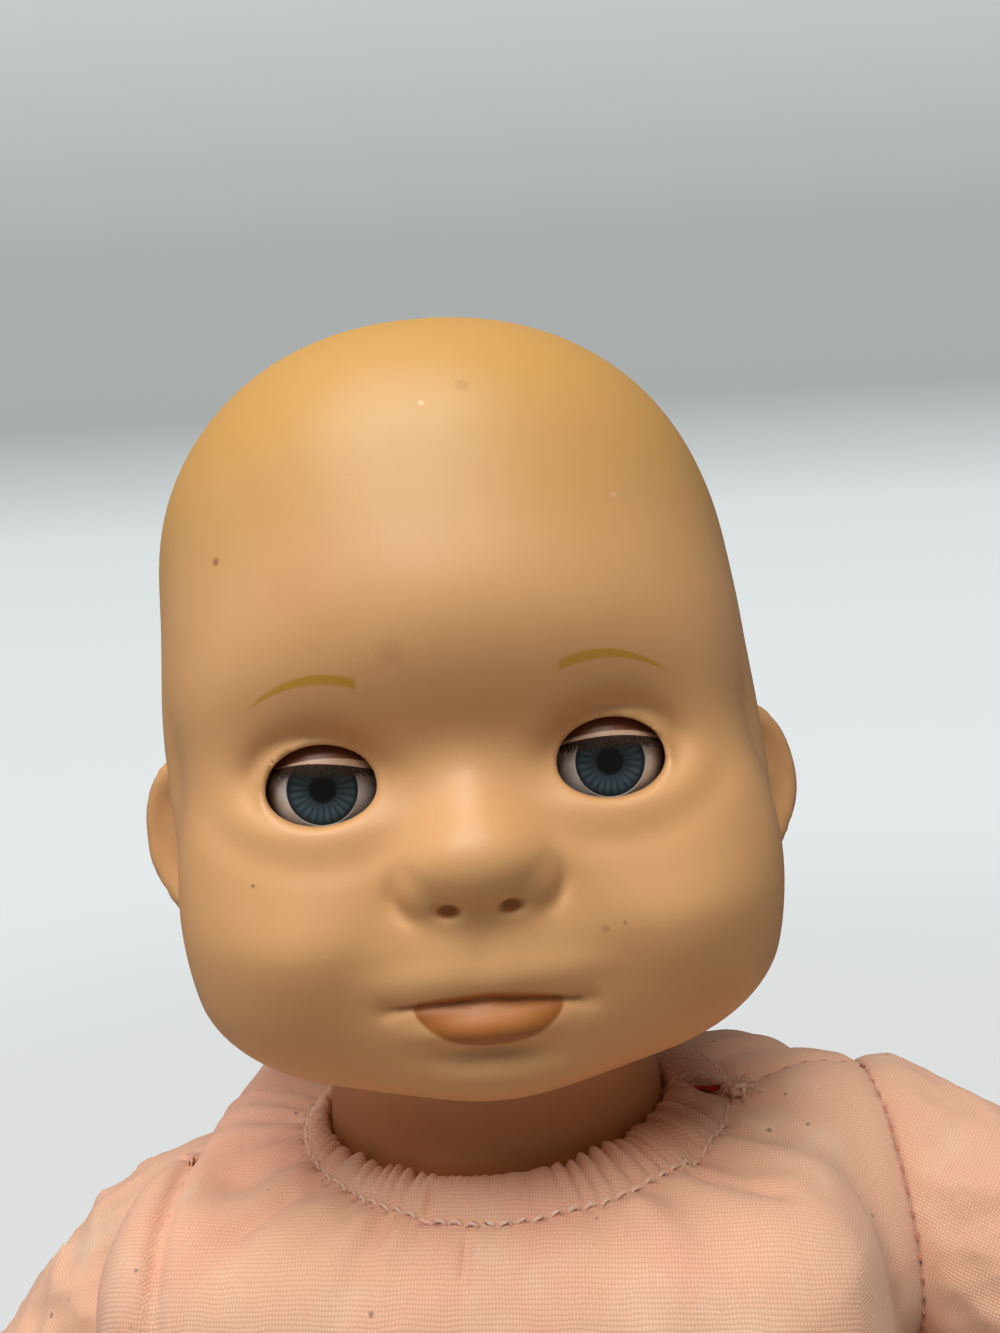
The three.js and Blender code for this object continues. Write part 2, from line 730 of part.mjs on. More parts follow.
// The space that one leg sweeps between standing straight down and raised to the belly
function legClearance(side, margin) {
  const radius = hipRadius + 2 * gap + margin;
  const [x, y, z] = hip;
  const outline = new THREE.Shape();
  const raised = radians(180 - legRaise);
  outline.absarc(0, 0, radius, 0, raised - Math.PI / 2, false);
  const reach = thighLength;
  const away = new THREE.Vector2(Math.cos(raised), Math.sin(raised)).multiplyScalar(reach);
  const top = new THREE.Vector2(Math.cos(raised - Math.PI / 2), Math.sin(raised - Math.PI / 2));
  top.multiplyScalar(radius).add(away);
  outline.lineTo(top.x, top.y);
  outline.lineTo(-radius - reach, -radius);
  outline.lineTo(-radius - reach, -radius - reach);
  outline.lineTo(radius, -radius - reach);
  const inner = crotchHalfWidth - margin;
  const depth = belly.radii[0] + overrun;
  const geometry = new THREE.ExtrudeGeometry(outline, { depth, bevelEnabled: false, curveSegments: 10 });
  geometry.rotateY(Math.PI / 2);
  geometry.rotateX(Math.PI / 2);
  geometry.translate(inner, y, z);
  const cut = solid(geometry);
  return side > 0 ? cut : cut.mirror([1, 0, 0]);
}

const bodyRows = [[180, 12]];
const bodyColumns = 24;

function bodySolid(inset) {
  const whole = skin(bodyField, bodyCentre, inset, bodyRows, bodyColumns, 0);
  const seat = box([-wide, -wide, inset], [wide, wide, wide]);
  return whole.intersect(seat).subtract(bodyClearances(inset));
}

function buildBody() {
  const body = new THREE.Group();
  const cloth = bodySolid(0).subtract(bodySolid(clothThickness));
  const filling = bodySolid(clothThickness + gap);
  const front = cloth.intersect(box([-wide, -wide, -wide], [wide, seamY - gap / 2, wide]));
  const back = cloth.intersect(box([-wide, seamY + gap / 2, -wide], [wide, wide, wide]));
  addPart(body, 'body_front', front, cotton);
  addPart(body, 'body_back', back, cotton);
  addPart(body, 'body_stuffing',
    filling.intersect(box([-wide, -wide, pelletBagTop + gap], [wide, wide, wide])), fibre);
  addPart(body, 'seat_pellet_bag',
    filling.intersect(box([-wide, -wide, -wide], [wide, wide, pelletBagTop])), pellets);
  addPart(body, 'neck_casing', neckCasing(), cotton);
  addPart(body, 'neck_drawstring', neckDrawstring(), cord);
  return body;
}

// A stuffed cloth limb along +Z: a ball at its root, a swell, and a tied end with a bore for the stub
function stuffedLimb(rootRadius, length, endRadius, bulge, boreRadius, boreDepth) {
  const rootSteps = 4;
  const steps = 6;
  const profile = [[0, -rootRadius]];
  for (let step = 1; step <= rootSteps; step += 1) {
    const angle = (-Math.PI / 2) * (1 - step / rootSteps);
    profile.push([rootRadius * Math.cos(angle), rootRadius * Math.sin(angle)]);
  }
  const tieAt = length - tieDistance;
  for (let step = 1; step < steps; step += 1) {
    const along = step / steps;
    const radius = rootRadius + (endRadius - rootRadius) * along + bulge * Math.sin(Math.PI * along);
    profile.push([radius, (tieAt - 2 * tieCord) * along]);
  }
  const neck = endRadius - 2 * tieCord;
  profile.push([endRadius - tieCord / 2, tieAt - tieCord - gap], [neck, tieAt - tieCord - gap]);
  profile.push([neck, tieAt + tieCord + gap], [endRadius - tieCord, tieAt + tieCord + gap]);
  profile.push([endRadius - tieCord, length - hemRound], [endRadius - tieCord - hemRound, length]);
  profile.push([boreRadius, length], [boreRadius, length - boreDepth], [0, length - boreDepth]);
  return turned(profile, smallSegments);
}

function tieRing(length, endRadius) {
  const ring = new THREE.TorusGeometry(endRadius - tieCord + gap, tieCord, tinySegments, smallSegments);
  ring.rotateZ(Math.PI / 2);
  ring.translate(0, 0, length - tieDistance);
  return solid(ring);
}

// Vinyl forearm along +Z from the sleeve's end. The thumb side is forward.
function forearm(side) {
  const forward = -side;
  const mirrored = ([x, y, z]) => [x * forward, y, z];
  const elbow = [0, 0, elbowAt];
  const wrist = mirrored(wristAt);
  const palm = mirrored(palmAt);
  const stub = rod([0, 0, -armStubLength], [0, 0, stubSunk], armStubRadius);
  const cuff = rod([0, 0, gap], [0, 0, elbowAt], forearmRadius - cuffTaper, forearmRadius, 12);
  const parts = [stub, cuff, limb(elbow, wrist, forearmRadius, wristRadius, 12)];
  parts.push(ellipsoid(palm, palmRadii, 10));
  for (const place of fingerPlaces) {
    const x = palm[0] + place * fingerPitch;
    const shorter = Math.abs(place);
    const knuckle = [x, palm[1], palm[2] + knuckleReach - shorter];
    const tip = [x + place, palm[1] - fingerCurl, knuckle[2] + fingerLength - shorter];
    parts.push(limb(knuckle, tip, fingerRadius, fingerRadius * fingerTaper, tinySegments));
  }
  const thumbOut = palmRadii[0] + thumbReach;
  const thumbRoot = [palm[0] + forward * thumbOut * 0.45, palm[1] - thumbReach / 2, palm[2] - thumbReach];
  const thumbTip = [palm[0] + forward * thumbOut, palm[1] - thumbReach, palm[2] + 1.5 * thumbReach];
  parts.push(limb(thumbRoot, thumbTip, thumbRadius, thumbRadius * fingerTaper, tinySegments));
  return union(parts);
}

// Vinyl lower leg along +Z from the thigh's end, toes up
function lowerLeg(side) {
  const mirrored = ([x, y, z]) => [x * side, y, z];
  const calf = [0, 0, calfAt];
  const ankle = mirrored(ankleAt);
  const foot = mirrored(footAt);
  const stub = rod([0, 0, -legStubLength], [0, 0, stubSunk], legStubRadius);
  const knee = rod([0, 0, gap], [0, 0, calfAt], kneeRadius - cuffTaper, calfRadius, 12);
  const parts = [stub, knee, limb(calf, ankle, calfRadius, ankleRadius, 12)];
  parts.push(ellipsoid(foot, footRadii, 12));
  for (let toe = 0; toe < toeCount; toe += 1) {
    const radius = toeRadius + toeShrink * (1.4 - toe);
    const x = foot[0] - side * (footRadii[0] - toeRadius - toe * toePitch);
    const y = foot[1] + footRadii[1] - 0.4 * toeRadius - 1.4 * toeShrink * toe * toe;
    parts.push(ellipsoid([x, y, foot[2] + toeRise], [radius, radius * 1.25, radius * 1.1], tinySegments));
  }
  return union(parts);
}

// A group at a joint whose +Z runs along the limb and whose +Y is as near up as it can be
function limbFrame(at, along) {
  const z = along.clone().normalize();
  const y = new THREE.Vector3(0, 0, 1).addScaledVector(z, -z.z).normalize();
  const x = new THREE.Vector3().crossVectors(y, z);
  const frame = new THREE.Group();
  frame.position.set(...at);
  frame.quaternion.setFromRotationMatrix(new THREE.Matrix4().makeBasis(x, y, z));
  return frame;
}

function buildArm(name, side) {
  const drop = radians(side > 0 ? armDropLeft : armDropRight);
  const forward = radians(armForward);
  const along = new THREE.Vector3(
    side * Math.cos(drop) * Math.cos(forward),
    -Math.cos(drop) * Math.sin(forward),
    -Math.sin(drop),
  );
  const arm = limbFrame(shoulderAt(side), along);
  const bore = armStubRadius + runningGap;
  const boreDepth = armStubLength + gap;
  addPart(arm, `sleeve_${name}`,
    stuffedLimb(shoulderRadius, sleeveLength, sleeveEndRadius, sleeveBulge, bore, boreDepth), cotton);
  addPart(arm, `sleeve_tie_${name}`, tieRing(sleeveLength, sleeveEndRadius), cord);
  const lower = new THREE.Group();
  lower.position.z = sleeveLength;
  addPart(lower, `forearm_${name}`, forearm(side), vinyl);
  arm.add(lower);
  return arm;
}

function buildLeg(name, side) {
  const splay = radians(legSplay);
  const drop = radians(legDrop);
  const along = new THREE.Vector3(
    side * Math.sin(splay) * Math.cos(drop),
    -Math.cos(splay) * Math.cos(drop),
    -Math.sin(drop),
  );
  const leg = limbFrame([side * hip[0], hip[1], hip[2]], along);
  const bore = legStubRadius + runningGap;
  const boreDepth = legStubLength + gap;
  addPart(leg, `thigh_${name}`,
    stuffedLimb(hipRadius, thighLength, thighEndRadius, 0, bore, boreDepth), cotton);
  addPart(leg, `leg_tie_${name}`, tieRing(thighLength, thighEndRadius), cord);
  const lower = new THREE.Group();
  lower.position.z = thighLength;
  addPart(lower, `lower_leg_${name}`, lowerLeg(side), vinyl);
  leg.add(lower);
  return leg;
}

const doll = new THREE.Group();
doll.add(buildHead(), buildBody());
for (const [name, side] of Object.entries(sides)) doll.add(buildArm(name, side), buildLeg(name, side));

export default doll;
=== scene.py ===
import math

import bpy
import numpy as np
from mathutils import Matrix, Vector


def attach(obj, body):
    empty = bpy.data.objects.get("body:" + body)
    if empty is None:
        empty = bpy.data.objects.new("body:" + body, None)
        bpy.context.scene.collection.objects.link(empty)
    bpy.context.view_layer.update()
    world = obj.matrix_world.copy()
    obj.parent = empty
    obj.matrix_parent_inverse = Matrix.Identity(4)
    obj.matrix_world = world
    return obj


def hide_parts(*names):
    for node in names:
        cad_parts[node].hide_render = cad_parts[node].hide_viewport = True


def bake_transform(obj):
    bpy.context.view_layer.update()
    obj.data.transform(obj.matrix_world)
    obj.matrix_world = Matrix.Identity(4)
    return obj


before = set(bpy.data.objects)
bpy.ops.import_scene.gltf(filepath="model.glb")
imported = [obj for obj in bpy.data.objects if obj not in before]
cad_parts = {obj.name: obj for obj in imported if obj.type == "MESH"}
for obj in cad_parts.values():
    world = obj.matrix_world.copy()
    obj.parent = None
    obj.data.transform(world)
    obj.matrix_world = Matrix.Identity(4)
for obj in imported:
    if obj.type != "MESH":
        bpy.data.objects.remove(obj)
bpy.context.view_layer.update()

# Everything below is in millimetres until a mesh is made: +Z is up and the doll faces -Y.
MM = 0.001
SIDES = {"left": 1, "right": -1}

# Camera: level with the brows, 180 mm in front of the neck's axis, a little rolled
CAMERA_AT = (31.26, -177.27, 218.0)
CAMERA_YAW = math.radians(-7.54)
CAMERA_ROLL = math.radians(5.4)
LENS = 27.0
SENSOR = 36.0

# Head: its own frame has its origin on the neck's axis at brow height
BROW_HEIGHT = 218.0
HEAD_TURN = math.radians(10)
HEAD_WALL = 3.0
FACE_PLANE = -20.0
CRANIUM = dict(at=(0, 6.2, 12.9), radii=(50, 53.1, 48.7), power=2.16)
SIDE_OF_HEAD = dict(at=(0, 3, -11), radii=(41.7, 48, 42.5), power=2.3)
FACE = dict(at=(0, -28, -35.2), radii=(41.9, 19, 29.6), power=2.75)
CHEEK = dict(at=(25.2, -17.6, -30.9), radii=(11.4, 16.4, 17.8), power=2)
CHIN = dict(at=(0, -40.0, -54.0), radii=(13, 9.5, 6.5), power=2)
NOSE_TIP = dict(at=(0, -49.9, -24.9), radii=(8.4, 6.0, 5.6), power=2)
NOSE_BRIDGE = dict(at=(0, -44.8, -22), radii=(5.4, 5, 7), power=2)
NOSE_WING = dict(at=(7.3, -46.9, -27.9), radii=(3.8, 5.2, 4.2), power=2)
MUZZLE = dict(at=(0, -40.2, -41), radii=(16.5, 12.8, 12.6), power=2)
UPPER_LIP = dict(at=(0, -47.6, -39.8), radii=(10, 4.4, 2.6), power=2)
LOWER_LIP = dict(at=(0, -47.7, -46.1), radii=(9.4, 5.0, 3.0), power=2)
NOSTRIL = dict(at=(4.1, -53.0, -30.6), radii=(1.5, 3.2, 0.95), power=2)
NECK_RADIUS = 29.5
NECK_BORE = 22.5
NECK_TAPER = 2.0
NECK_BOTTOM = -89.0
NECK_TOP = -52.5
GROOVE_TOP = -78.5
GROOVE_BOTTOM = -84.5
GROOVE_DEPTH = 4.0

# Ears
EAR_ROOT = (42.0, -2.0, -25.4)
EAR_FLARE = math.radians(26)
EAR_REACH = 19.5
EAR_HALF_HEIGHT = 14.2

# Sleep eyes, about the middle of each ball
EYE_AT = (20.0, -34.4, -14.6)
EYE_RADIUS = 8.8
EYE_CLEARANCE = 10.1
LID_RADIUS = 9.3
IRIS_RADIUS = 4.9
PUPIL_RADIUS = 1.87
OPENING_HALF_WIDTH = 7.7
OPENING_UP = 6.1
OPENING_DOWN = 4.8
OPENING_MIDDLE = -14.4

# Eyelids, in degrees about the ball, and their thickness
LID_EDGE_UP = 23.0
LID_COVER = 92.0
LID_HALF_WIDTH = 66.0
LID_THICK = 0.42
LASH_SPREAD = 52
LASH_ROWS, LASHES_IN_ROW = 3, 120

# Painted brows, in the head's frame
BROW_TOP = (19.0, 0.5)
BROW_BEND = 0.033
BROW_ENDS = (13.3, 29.4)

# Mouth
MOUTH_LINE = -42.8
MOUTH_HALF_WIDTH = 13.0
LIP_HALF_WIDTH = 9.9
LIP_DEPTH = 5.7

# Cloth body
CHEST = dict(at=(0, -2, 101), radii=(60.5, 49.5, 40.5), powers=(5, 5, 4))
BELLY = dict(at=(0, -2, 50), radii=(60.5, 47.5, 56), powers=(2.7, 2.5, 2.7))
SHOULDERS = {1: (66.5, 2.0, 123.0), -1: (-64.0, 2.0, 110.0)}
SHOULDER_RADIUS = 20.0
SLEEVE_LENGTH = 52.0
SLEEVE_END = 15.0
SLEEVE_BULGE = 1.2
SLEEVE_CREASE = {1: 0.8, -1: 1.5}
HIP = (31.5, -30.0, 24.6)
HIP_RADIUS = 24.0
THIGH_LENGTH = 58.0
THIGH_END = 17.2
THIGH_BULGE = 1.5
SEAM_Y = 4.0
TIE_BACK = 5.0
TIE_CORD = 0.9
ARM_DROP = {1: 20.0, -1: 43.0}
ARM_FORWARD = 28.0
LEG_SPLAY = 12.0
LEG_DROP = 3.2
THIGH_SEAM = 17.0
PUFF_LEFT = 4.0
PUFF_RIGHT = 7.0

# Vinyl hands and feet, in the frames of their limbs
WRIST = (10.0, -3.0, 47.0)
PALM = (14.0, -4.0, 61.0)
FINGER_PITCH = 5.95
ANKLE = (0.0, -3.0, 50.0)
FOOT = (0.0, 8.0, 60.0)

# Neck casing
CASING_INNER = 29.9
CASING_TOP = 142.9
STITCH_RING = 37.3
RING_ASKEW = 3.6
CASING_PARTS = 20
YOKE_EDGE = 46.0
STITCH_PITCH = 2.4

# Sparse stitches: pitch, length, radius and height over the cloth
ARMHOLE_STITCHES = {1: (3.1, 1.5, 0.17, 0.2), -1: (4.6, 1.5, 0.14, 0.08)}
SHOULDER_STITCHES = (3.4, 1.4, 0.14, 0.08)
ARMHOLE_START = {1: -1.74, -1: -2.1}

# The drawstring's knot on the doll's left
KNOT_AT = (42.2, -3.0)
KNOT_STRANDS = 46

# Creases that run out from the neck: angle, lean, width, where they begin and end, and depth
NECK_CREASES = ((0.9, 0.004, 0.035, (39, 44), (52, 60), 1.2), (-0.75, 0, 0.03, (39, 43), (48, 56), 0.9),
                (0.02, 0, 0.02, (38.5, 40), (43, 47), 0.5))
# Dents beside the neck: angle, width, distance from the axis, length and depth
NECK_DENTS = ((-1.05, 0.2, 47, 6, 2.2), (1.0, 0.06, 45, 7, 2.0), (1.28, 0.08, 47, 8, 1.4))

# The casing's turned-in hem: radius and height of each ring
CASING_HEM = [(28.3, 134.8), (27.9, 136.8), (28.2, 138.6), (29.2, 139.4), (29.75, 140.2), (29.85, 141.2)]

# The cloth's slit, its threads and how far its edges are turned in
SLIT_TURN = 1.5
THREAD_PITCH = 0.45
SEAM_ALLOWANCE = 1.4

# Where the cloth of a limb would begin to follow it, and over what length
ARMHOLE_DEPTH = 20.0
ARMHOLE_GIVE = 22.0
THIGH_GIVE = 18.0

# Spacings of the grids that the meshes are made on
FACE_STEP = 0.62
FILLING_STEP = 3.2
PELLET_STEP = 2.2
LATHE_STEPS = 72
CASING_STEPS = 1000

# Drawstring
GROOVE_RING = 26.7
DRAWSTRING_HEIGHT = 136.5
DRAWSTRING_RADIUS = 0.85

# How tightly the body, sleeves, thighs and pellet bag are filled, and how far in the fillings lie
CLOTH_FILL = (0.8, 0.5, 0.6)
PELLET_FILL = 0.6
FILLING_GAP = 3.5
PELLET_GAP = 3.2

# Each cloth piece and the solid that it stands for; sleeves and thighs with their side and number
CLOTH_PIECES = (("chest_front", "body_front"), ("chest_back", "body_back"),
                ("sleeve_cloth_left", "sleeve_left"), ("sleeve_cloth_right", "sleeve_right"),
                ("thigh_cloth_left", "thigh_left"), ("thigh_cloth_right", "thigh_right"))
SLEEVES = ((1, 2), (-1, 3))
THIGHS = ((1, 4), (-1, 5))
SLEEVE_REACH = 30
THIGH_REACH = 32


def srgb(red, green, blue):
    """A colour as a screen shows it, from 0 to 255, turned into the linear values that shaders take."""
    def linear(value):
        value /= 255
        return value / 12.92 if value <= 0.04045 else ((value + 0.055) / 1.055) ** 2.4
    return (linear(red), linear(green), linear(blue), 1.0)


VINYL = srgb(226, 171, 114)
VINYL_DEEP = srgb(206, 145, 92)
# Painted shade for the neck under the chin
NECK_PAINTED_SHADE = srgb(176, 104, 52)
HAIR_PAINT = srgb(214, 162, 84)
BROW_PAINT = srgb(200, 150, 34)
LIP_PAINT = srgb(186, 112, 46)
# Painted shade for the lower half of the lower lip
LIP_PAINTED_SHADE = srgb(156, 88, 32)
# Painted shade for the crease between the lips
LIP_CREASE_SHADE = srgb(140, 66, 18)
COTTON = srgb(240, 190, 158)
COTTON_PINK = srgb(240, 176, 152)
COTTON_PALE = srgb(244, 214, 184)
# Painted shade for the gaps between the cloth's threads
WEAVE_GAP_SHADE = srgb(206, 150, 116)
WEAVE_TOP = srgb(252, 220, 190)
SPECK = srgb(120, 96, 78)
THREAD = srgb(250, 212, 186)
SEAM_THREAD = srgb(216, 140, 116)
SLIT_CLOTH = srgb(206, 78, 40)
SCLERA = srgb(234, 226, 218)
# Painted shade for the sides of the eyeball
SCLERA_SIDE_SHADE = srgb(150, 120, 96)
SCLERA_DUST = srgb(186, 176, 164)
IRIS_DARK = srgb(42, 54, 62)
IRIS_MID = srgb(66, 86, 98)
IRIS_PALE = srgb(80, 104, 116)
IRIS_RIM = srgb(30, 38, 46)
PUPIL = srgb(6, 5, 5)
LID = srgb(236, 196, 164)
# Painted shade for the lid above its pale edge
LID_PAINTED_SHADE = srgb(122, 70, 44)
LID_EDGE = srgb(92, 48, 30)
LASH = srgb(66, 42, 24)


# Rubs, specks and scratches on the face: x, z, radius, colour and strength
FACE_MARKS = [
    (-32.5, 18.5, 0.8, srgb(150, 84, 30), 0.7), (4.5, 40.0, 1.4, srgb(178, 126, 60), 0.4),
    (-8.5, 3.0, 2.6, srgb(176, 126, 84), 0.2), (-29.5, -25.8, 0.4, srgb(110, 70, 40), 0.6),
    (16.0, -35.2, 0.8, srgb(120, 84, 54), 0.3), (18.6, -34.6, 0.45, srgb(120, 84, 54), 0.4),
    (24.0, 22.5, 0.7, srgb(238, 206, 170), 0.4), (-1.5, 37.5, 0.6, srgb(246, 220, 170), 0.5),
]

# The backdrop's shades from the floor up, each at its share of the height
BACKDROP = [(0.0, srgb(232, 236, 237)), (0.30, srgb(226, 231, 232)), (0.415, srgb(219, 224, 225)),
            (0.455, srgb(196, 201, 202)), (0.50, srgb(168, 172, 171)), (0.62, srgb(171, 176, 175)),
            (0.78, srgb(194, 199, 197)), (0.9, srgb(212, 217, 216))]


# Shapes as fields: a field is below zero inside a shape, and is about a distance near its skin.

def mass(shape, x, y, z):
    """A rounded mass with its own radii and squareness."""
    cx, cy, cz = shape["at"]
    rx, ry, rz = shape["radii"]
    px, py, pz = shape.get("powers") or (shape["power"],) * 3
    level = np.abs((x - cx) / rx) ** px + np.abs((y - cy) / ry) ** py + np.abs((z - cz) / rz) ** pz
    return (level ** (1 / max(px, py, pz)) - 1) * min(rx, ry, rz)


def heaped(field, at, *parts):
    """A shape with more rounded masses joined to it, each given as (mass, blend)."""
    for part, blend in parts:
        field = joined(field, mass(part, *at), blend)
    return field


def joined(a, b, blend):
    """Two shapes with a rounded valley between them."""
    reach = np.maximum(blend - np.abs(a - b), 0) / blend
    return np.minimum(a, b) - reach * reach * blend / 4


def shared(a, b, blend):
    """What two shapes have in common, with a rounded edge."""
    return -joined(-a, -b, blend)


def cut(a, b, blend):
    """The first shape without the second, with a rounded edge."""
    return -joined(-a, b, blend)


def bell(distance, width):
    """1 in the middle, and almost 0 at twice the width."""
    return np.exp(-(distance / width) ** 2)


def from_axis(x, y):
    """The distance from an axis that two parts give."""
    return np.sqrt(x * x + y * y)


def oval(*parts):
    """How far out a point is in an oval of (distance, radius) parts: 1 on its edge."""
    return np.sqrt(sum((away / radius) ** 2 for away, radius in parts))


def rising(value, low, high):
    """0 below low, 1 above high, and smooth between."""
    share = np.clip((value - low) / (high - low), 0, 1)
    return share * share * (3 - 2 * share)


def tapered(start, end, start_radius, end_radius, x, y, z):
    """A limb with round ends that tapers from one radius to another."""
    start, end = np.array(start, float), np.array(end, float)
    along = end - start
    length = along @ along
    share = ((x - start[0]) * along[0] + (y - start[1]) * along[1] + (z - start[2]) * along[2]) / length
    share = np.clip(share, 0, 1)
    dx, dy, dz = (value - start[k] - share * along[k] for k, value in enumerate((x, y, z)))
    return np.sqrt(dx * dx + dy * dy + dz * dz) - (start_radius + (end_radius - start_radius) * share)


# Meshes from fields

def lines(start, *stretches):
    """Grid lines from a start, in stretches of (end, spacing)."""
    found = [float(start)]
    for end, spacing in stretches:
        count = max(1, round((end - found[-1]) / spacing))
        found += list(np.linspace(found[-1], end, count + 1)[1:])
    return np.array(found)


def slope(field, points, reach=0.04):
    """The direction in which a field grows, at each point."""
    grown = np.empty_like(points)
    for axis in range(3):
        step = np.zeros(3)
        step[axis] = reach
        grown[:, axis] = (field(*(points + step).T) - field(*(points - step).T)) / (2 * reach)
    return grown


def onto(field, points, furthest=0.8):
    """Moves points onto the skin of a shape."""
    grown = slope(field, points)
    size = np.maximum((grown ** 2).sum(1), 1e-4)
    move = -(field(*points.T) / size)[:, None] * grown
    length = np.sqrt((move ** 2).sum(1))
    return points + move * np.minimum(1, furthest / np.maximum(length, 1e-9))[:, None]


def directed_edges(faces):
    return np.concatenate([faces[:, [k, (k + 1) % 4]] for k in range(4)])


def numbered(used, size, first=0):
    """New numbers, from a first one up, for the points that are used, out of size points."""
    number = np.full(size, -1)
    number[used] = np.arange(len(used)) + first
    return number


def averaged(points, faces, share):
    """Moves each point towards the mean of its neighbours."""
    ends = directed_edges(faces)
    ends = np.concatenate([ends, ends[:, ::-1]])
    count = np.bincount(ends[:, 0], minlength=len(points))
    mean = np.stack([np.bincount(ends[:, 0], points[ends[:, 1], k], len(points)) for k in range(3)], 1)
    mean /= np.maximum(count, 1)[:, None]
    return points + share * (mean - points)


def net(field, axes, rounds=3):
    """A quad mesh on the skin of a shape, from a grid of lines along x, y and z."""
    x, y, z = axes
    value = field(x[:, None, None], y[None, :, None], z[None, None, :])
    inside = value < 0
    cells = tuple(n - 1 for n in value.shape)
    total = np.zeros((3, cells[0] * cells[1] * cells[2]))
    count = np.zeros(total.shape[1])
    faces = []
    for axis in range(3):
        before = [slice(None)] * 3
        after = [slice(None)] * 3
        before[axis], after[axis] = slice(None, -1), slice(1, None)
        before, after = tuple(before), tuple(after)
        at = np.array(np.nonzero(inside[before] != inside[after]))
        others = [(axis + 1) % 3, (axis + 2) % 3]
        for other in others:
            at = at[:, (at[other] > 0) & (at[other] < cells[other])]
        low = value[before][tuple(at)]
        high = value[after][tuple(at)]
        point = np.stack([axes[k][at[k]] for k in range(3)])
        point[axis] += (axes[axis][at[axis] + 1] - point[axis]) * low / (low - high)
        ring = []
        for du, dv in ((-1, -1), (0, -1), (0, 0), (-1, 0)):
            cell = at.copy()
            cell[others[0]] += du
            cell[others[1]] += dv
            flat = np.ravel_multi_index(tuple(cell), cells)
            ring.append(flat)
            count += np.bincount(flat, minlength=len(count))
            for k in range(3):
                total[k] += np.bincount(flat, point[k], len(count))
        ring = np.stack(ring, 1)
        faces.append(np.where((low < 0)[:, None], ring, ring[:, ::-1]))
    used = np.nonzero(count)[0]
    faces = numbered(used, len(count))[np.concatenate(faces)]
    points = (total[:, used] / count[used]).T
    for _ in range(rounds):
        points = onto(field, averaged(points, faces, 0.5))
    return onto(field, points), faces


def normals_of(points, faces):
    """The outward direction at each point."""
    across = points[faces[:, 2]] - points[faces[:, 0]]
    other = points[faces[:, 3]] - points[faces[:, 1]]
    facing = np.cross(across, other)
    total = np.zeros_like(points)
    for corner in range(4):
        np.add.at(total, faces[:, corner], facing)
    return total / np.maximum(np.linalg.norm(total, axis=1), 1e-9)[:, None]


def piece(name, points, faces, material, frame_matrix=None):
    """A mesh object from points in millimetres, placed by a frame."""
    mesh = bpy.data.meshes.new(name)
    mesh.from_pydata((np.asarray(points) * MM).tolist(), [], [list(map(int, face)) for face in faces])
    mesh.materials.append(material)
    mesh.shade_smooth()
    mesh.update()
    made = bpy.data.objects.new(name, mesh)
    bpy.context.scene.collection.objects.link(made)
    if frame_matrix is not None:
        made.matrix_world = frame_matrix
    return made


def fitted(made, body, node=None):
    """Has a piece ride a body, and hides the solid that it stands for."""
    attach(made, body)
    if node:
        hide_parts(node)
    return made


def bridged(rings, outward=True):
    """Faces between closed rings of point numbers; a ring of one point is a tip."""
    faces = []
    for low, high in zip(rings, rings[1:]):
        for k in range(max(len(low), len(high))):
            n = k + 1
            corners = [low[k % len(low)], low[n % len(low)], high[n % len(high)], high[k % len(high)]]
            face = list(dict.fromkeys(corners))
            faces.append(face if outward else face[:1] + face[:0:-1])
    return faces


def ring_numbers(rings, around, first=0):
    """The numbers of points that come ring by ring."""
    return [range(first + ring * around, first + (ring + 1) * around) for ring in range(rings)]


def operation(kind):
    """A method that adds one Math node of a kind."""
    return lambda self, *others: self.math(kind, *others)


class Value:
    """A number in a finish that varies over the surface: what is worked out with it adds nodes."""

    def __init__(self, finish, socket):
        self.finish = finish
        self.socket = socket

    def math(self, kind, *others, clamp=False):
        inputs = dict(enumerate((self, *others)))
        return self.finish.node("Math", {"operation": kind, "use_clamp": clamp}, inputs)

    __add__ = __radd__ = operation("ADD")
    __mul__ = __rmul__ = operation("MULTIPLY")
    __sub__ = operation("SUBTRACT")
    __truediv__ = operation("DIVIDE")
    __pow__ = operation("POWER")
    __abs__ = operation("ABSOLUTE")
    sine = operation("SINE")
    least = operation("MINIMUM")
    most = operation("MAXIMUM")
    angle_over = operation("ARCTAN2")

    def __rsub__(self, other):
        return self * -1 + other

    def rising(self, low, high):
        """0 below low, 1 above high, and smooth between."""
        settings = {"interpolation_type": "SMOOTHSTEP"}
        inputs = {"Value": self, "From Min": low, "From Max": high, "To Min": 0.0, "To Max": 1.0}
        return self.finish.node("MapRange", settings, inputs)

    def falling(self, low, high):
        return 1 - self.rising(low, high)

    def away(self, other):
        """The distance from a middle that two parts give."""
        return (self ** 2.0 + other ** 2.0) ** 0.5


